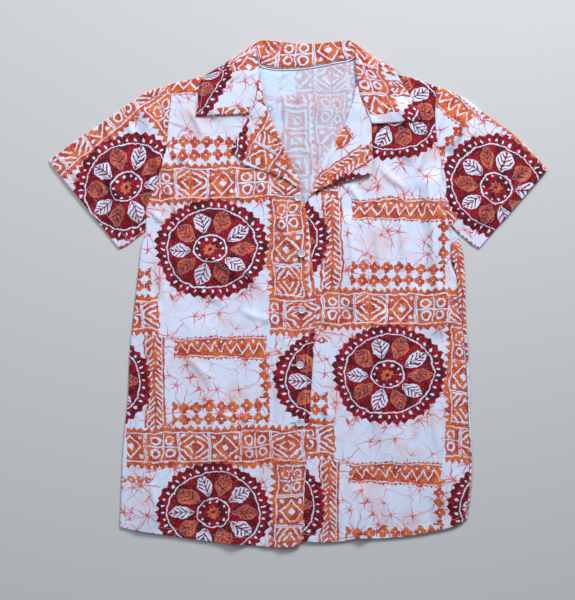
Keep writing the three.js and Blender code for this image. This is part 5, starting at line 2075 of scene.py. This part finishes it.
def slit_shade_material():
    """Painted shade between the lips of a buttonhole, with a little of the cloth's fibre in it."""
    material, tree, shader = new_material("buttonhole_shade", Roughness=0.95)
    mottle(tree, shader, 1500.0, (0.03, 0.02, 0.03), (0.16, 0.12, 0.14))
    return material


def button_material():
    """Pearly plastic: cloudy grey-white with a soft shine and a little light going through."""
    material, tree, shader = new_material(
        "button_pearl", Specular_IOR_Level=0.5, Coat_Roughness=0.12, Coat_Weight=0.4,
        Subsurface_Weight=0.15, Subsurface_Radius=(0.002, 0.002, 0.002),
    )
    cloud = mottle(tree, shader, 260.0, (0.50, 0.50, 0.54), (0.80, 0.80, 0.84), detail=4.0)
    tree.links.new((cloud * 0.25 + 0.15).socket, shader.inputs["Roughness"])
    add_bump(tree, shader, cloud.socket, 0.2, 0.0001)
    return material


BUTTON_PEARL = button_material()
for piece in buttons:
    piece.data.materials.append(BUTTON_PEARL)
# The dark sheets in the buttonholes carry painted shade.
slit_shades.data.materials.append(slit_shade_material())
button_thread.data.materials.append(thread_material())
neck_edge.data.materials.append(plain_cotton_material())
print("small materials are made")

# %% [markdown]
# ## Floor, light and camera
#
# The shirt lies on a plain pale floor. A window light stands beyond the collar, a little to
# the right, and a broader and softer one to the upper left. The sky fills the shadows. The
# camera looks straight down.

# %% Floor
FLOOR_SIZE = 6.0
FLOOR_COLOUR = (0.66, 0.64, 0.60, 1.0)


def build_floor():
    half = FLOOR_SIZE / 2
    mesh = bpy.data.meshes.new("floor")
    corners = [(-half, -half, 0), (half, -half, 0), (half, half, 0), (-half, half, 0)]
    mesh.from_pydata(corners, [], [(0, 1, 2, 3)])
    material, _, shader = new_material("pale_floor", Roughness=0.9)
    shader.inputs["Base Color"].default_value = FLOOR_COLOUR
    mesh.materials.append(material)
    return add_piece("floor", mesh)


floor = build_floor()
print("floor:", FLOOR_SIZE, "m")

# %% Light
# Of each lamp: name, place, side in metres, power in watts, and colour.
LAMPS = (
    ("window", (0.9, 2.2, 1.3), 0.8, 36.0, (0.86, 0.91, 1.0)),
    ("room", (-1.8, 1.2, 1.6), 1.4, 12.0, (0.88, 0.92, 1.0)),
)
LAMP_SPREAD = 120.0
SKY_COLOUR = (0.76, 0.84, 1.0, 1.0)
SKY_STRENGTH = 0.22
for name, place, size, power, tint in LAMPS:
    lamp = bpy.data.lights.new(name, "AREA")
    lamp.size = size
    lamp.spread = math.radians(LAMP_SPREAD)
    lamp.energy = power
    lamp.color = tint
    holder = bpy.data.objects.new(name, lamp)
    holder.location = place
    holder.rotation_euler = Vector(place).to_track_quat("Z", "Y").to_euler()
    bpy.context.scene.collection.objects.link(holder)
world = bpy.data.worlds.new("sky")
bpy.context.scene.world = world
world.use_nodes = True
world.node_tree.nodes["Background"].inputs["Color"].default_value = SKY_COLOUR
world.node_tree.nodes["Background"].inputs["Strength"].default_value = SKY_STRENGTH
bpy.context.scene.view_settings.view_transform = "Standard"
print("lamps:", len(LAMPS))

# %% Camera
CAMERA_PLACE = (-0.0160, -0.0093, 2.2)
VIEW_HEIGHT = 0.912
SENSOR = 36.0
camera_data = bpy.data.cameras.new("camera")
camera_data.sensor_fit = "AUTO"
camera_data.sensor_width = SENSOR
camera_data.lens = SENSOR * CAMERA_PLACE[2] / VIEW_HEIGHT
camera = bpy.data.objects.new("camera", camera_data)
camera.location = CAMERA_PLACE
bpy.context.scene.collection.objects.link(camera)
bpy.context.scene.camera = camera
print("lens in mm:", round(camera_data.lens, 1))

# %% [markdown]
# ## Every piece takes its node's place
#
# The shirt is one body. Each cloth piece stands for the solid of its name, which is hidden.

SHEETS = (
    (back, "back", (0.56, 0.74), None, ["floor"]),
    (front_right, "front_right", (0.30, 0.73), None, ["back"]),
    (front_left, "front_left", (0.27, 0.73), None, ["back"]),
    (sleeve_right, "sleeve_right", (0.40, 0.19), 0.052, ["floor"]),
    (sleeve_left, "sleeve_left", (0.40, 0.19), 0.052, ["floor"]),
    (lapel_right, "facing_right", (0.09, 0.19), 0.0082, ["front_right"]),
    (lapel_left, "facing_left", (0.08, 0.18), 0.0080, ["front_left"]),
    (collar, "collar", (0.52, 0.10), 0.040, ["front_right", "front_left"]),
)
for piece, node, flat_size, area, under in SHEETS:
    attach(piece, "root")
    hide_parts(node)
for number, button in enumerate(buttons, 1):
    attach(button, "root")
    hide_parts(f"button_{number}")
SEWING = (
    front_stitching, cuff_stitching, collar_stitching, buttonhole_stitching,
    slit_shades, button_thread, neck_edge,
)
for piece in SEWING:
    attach(piece, "root")
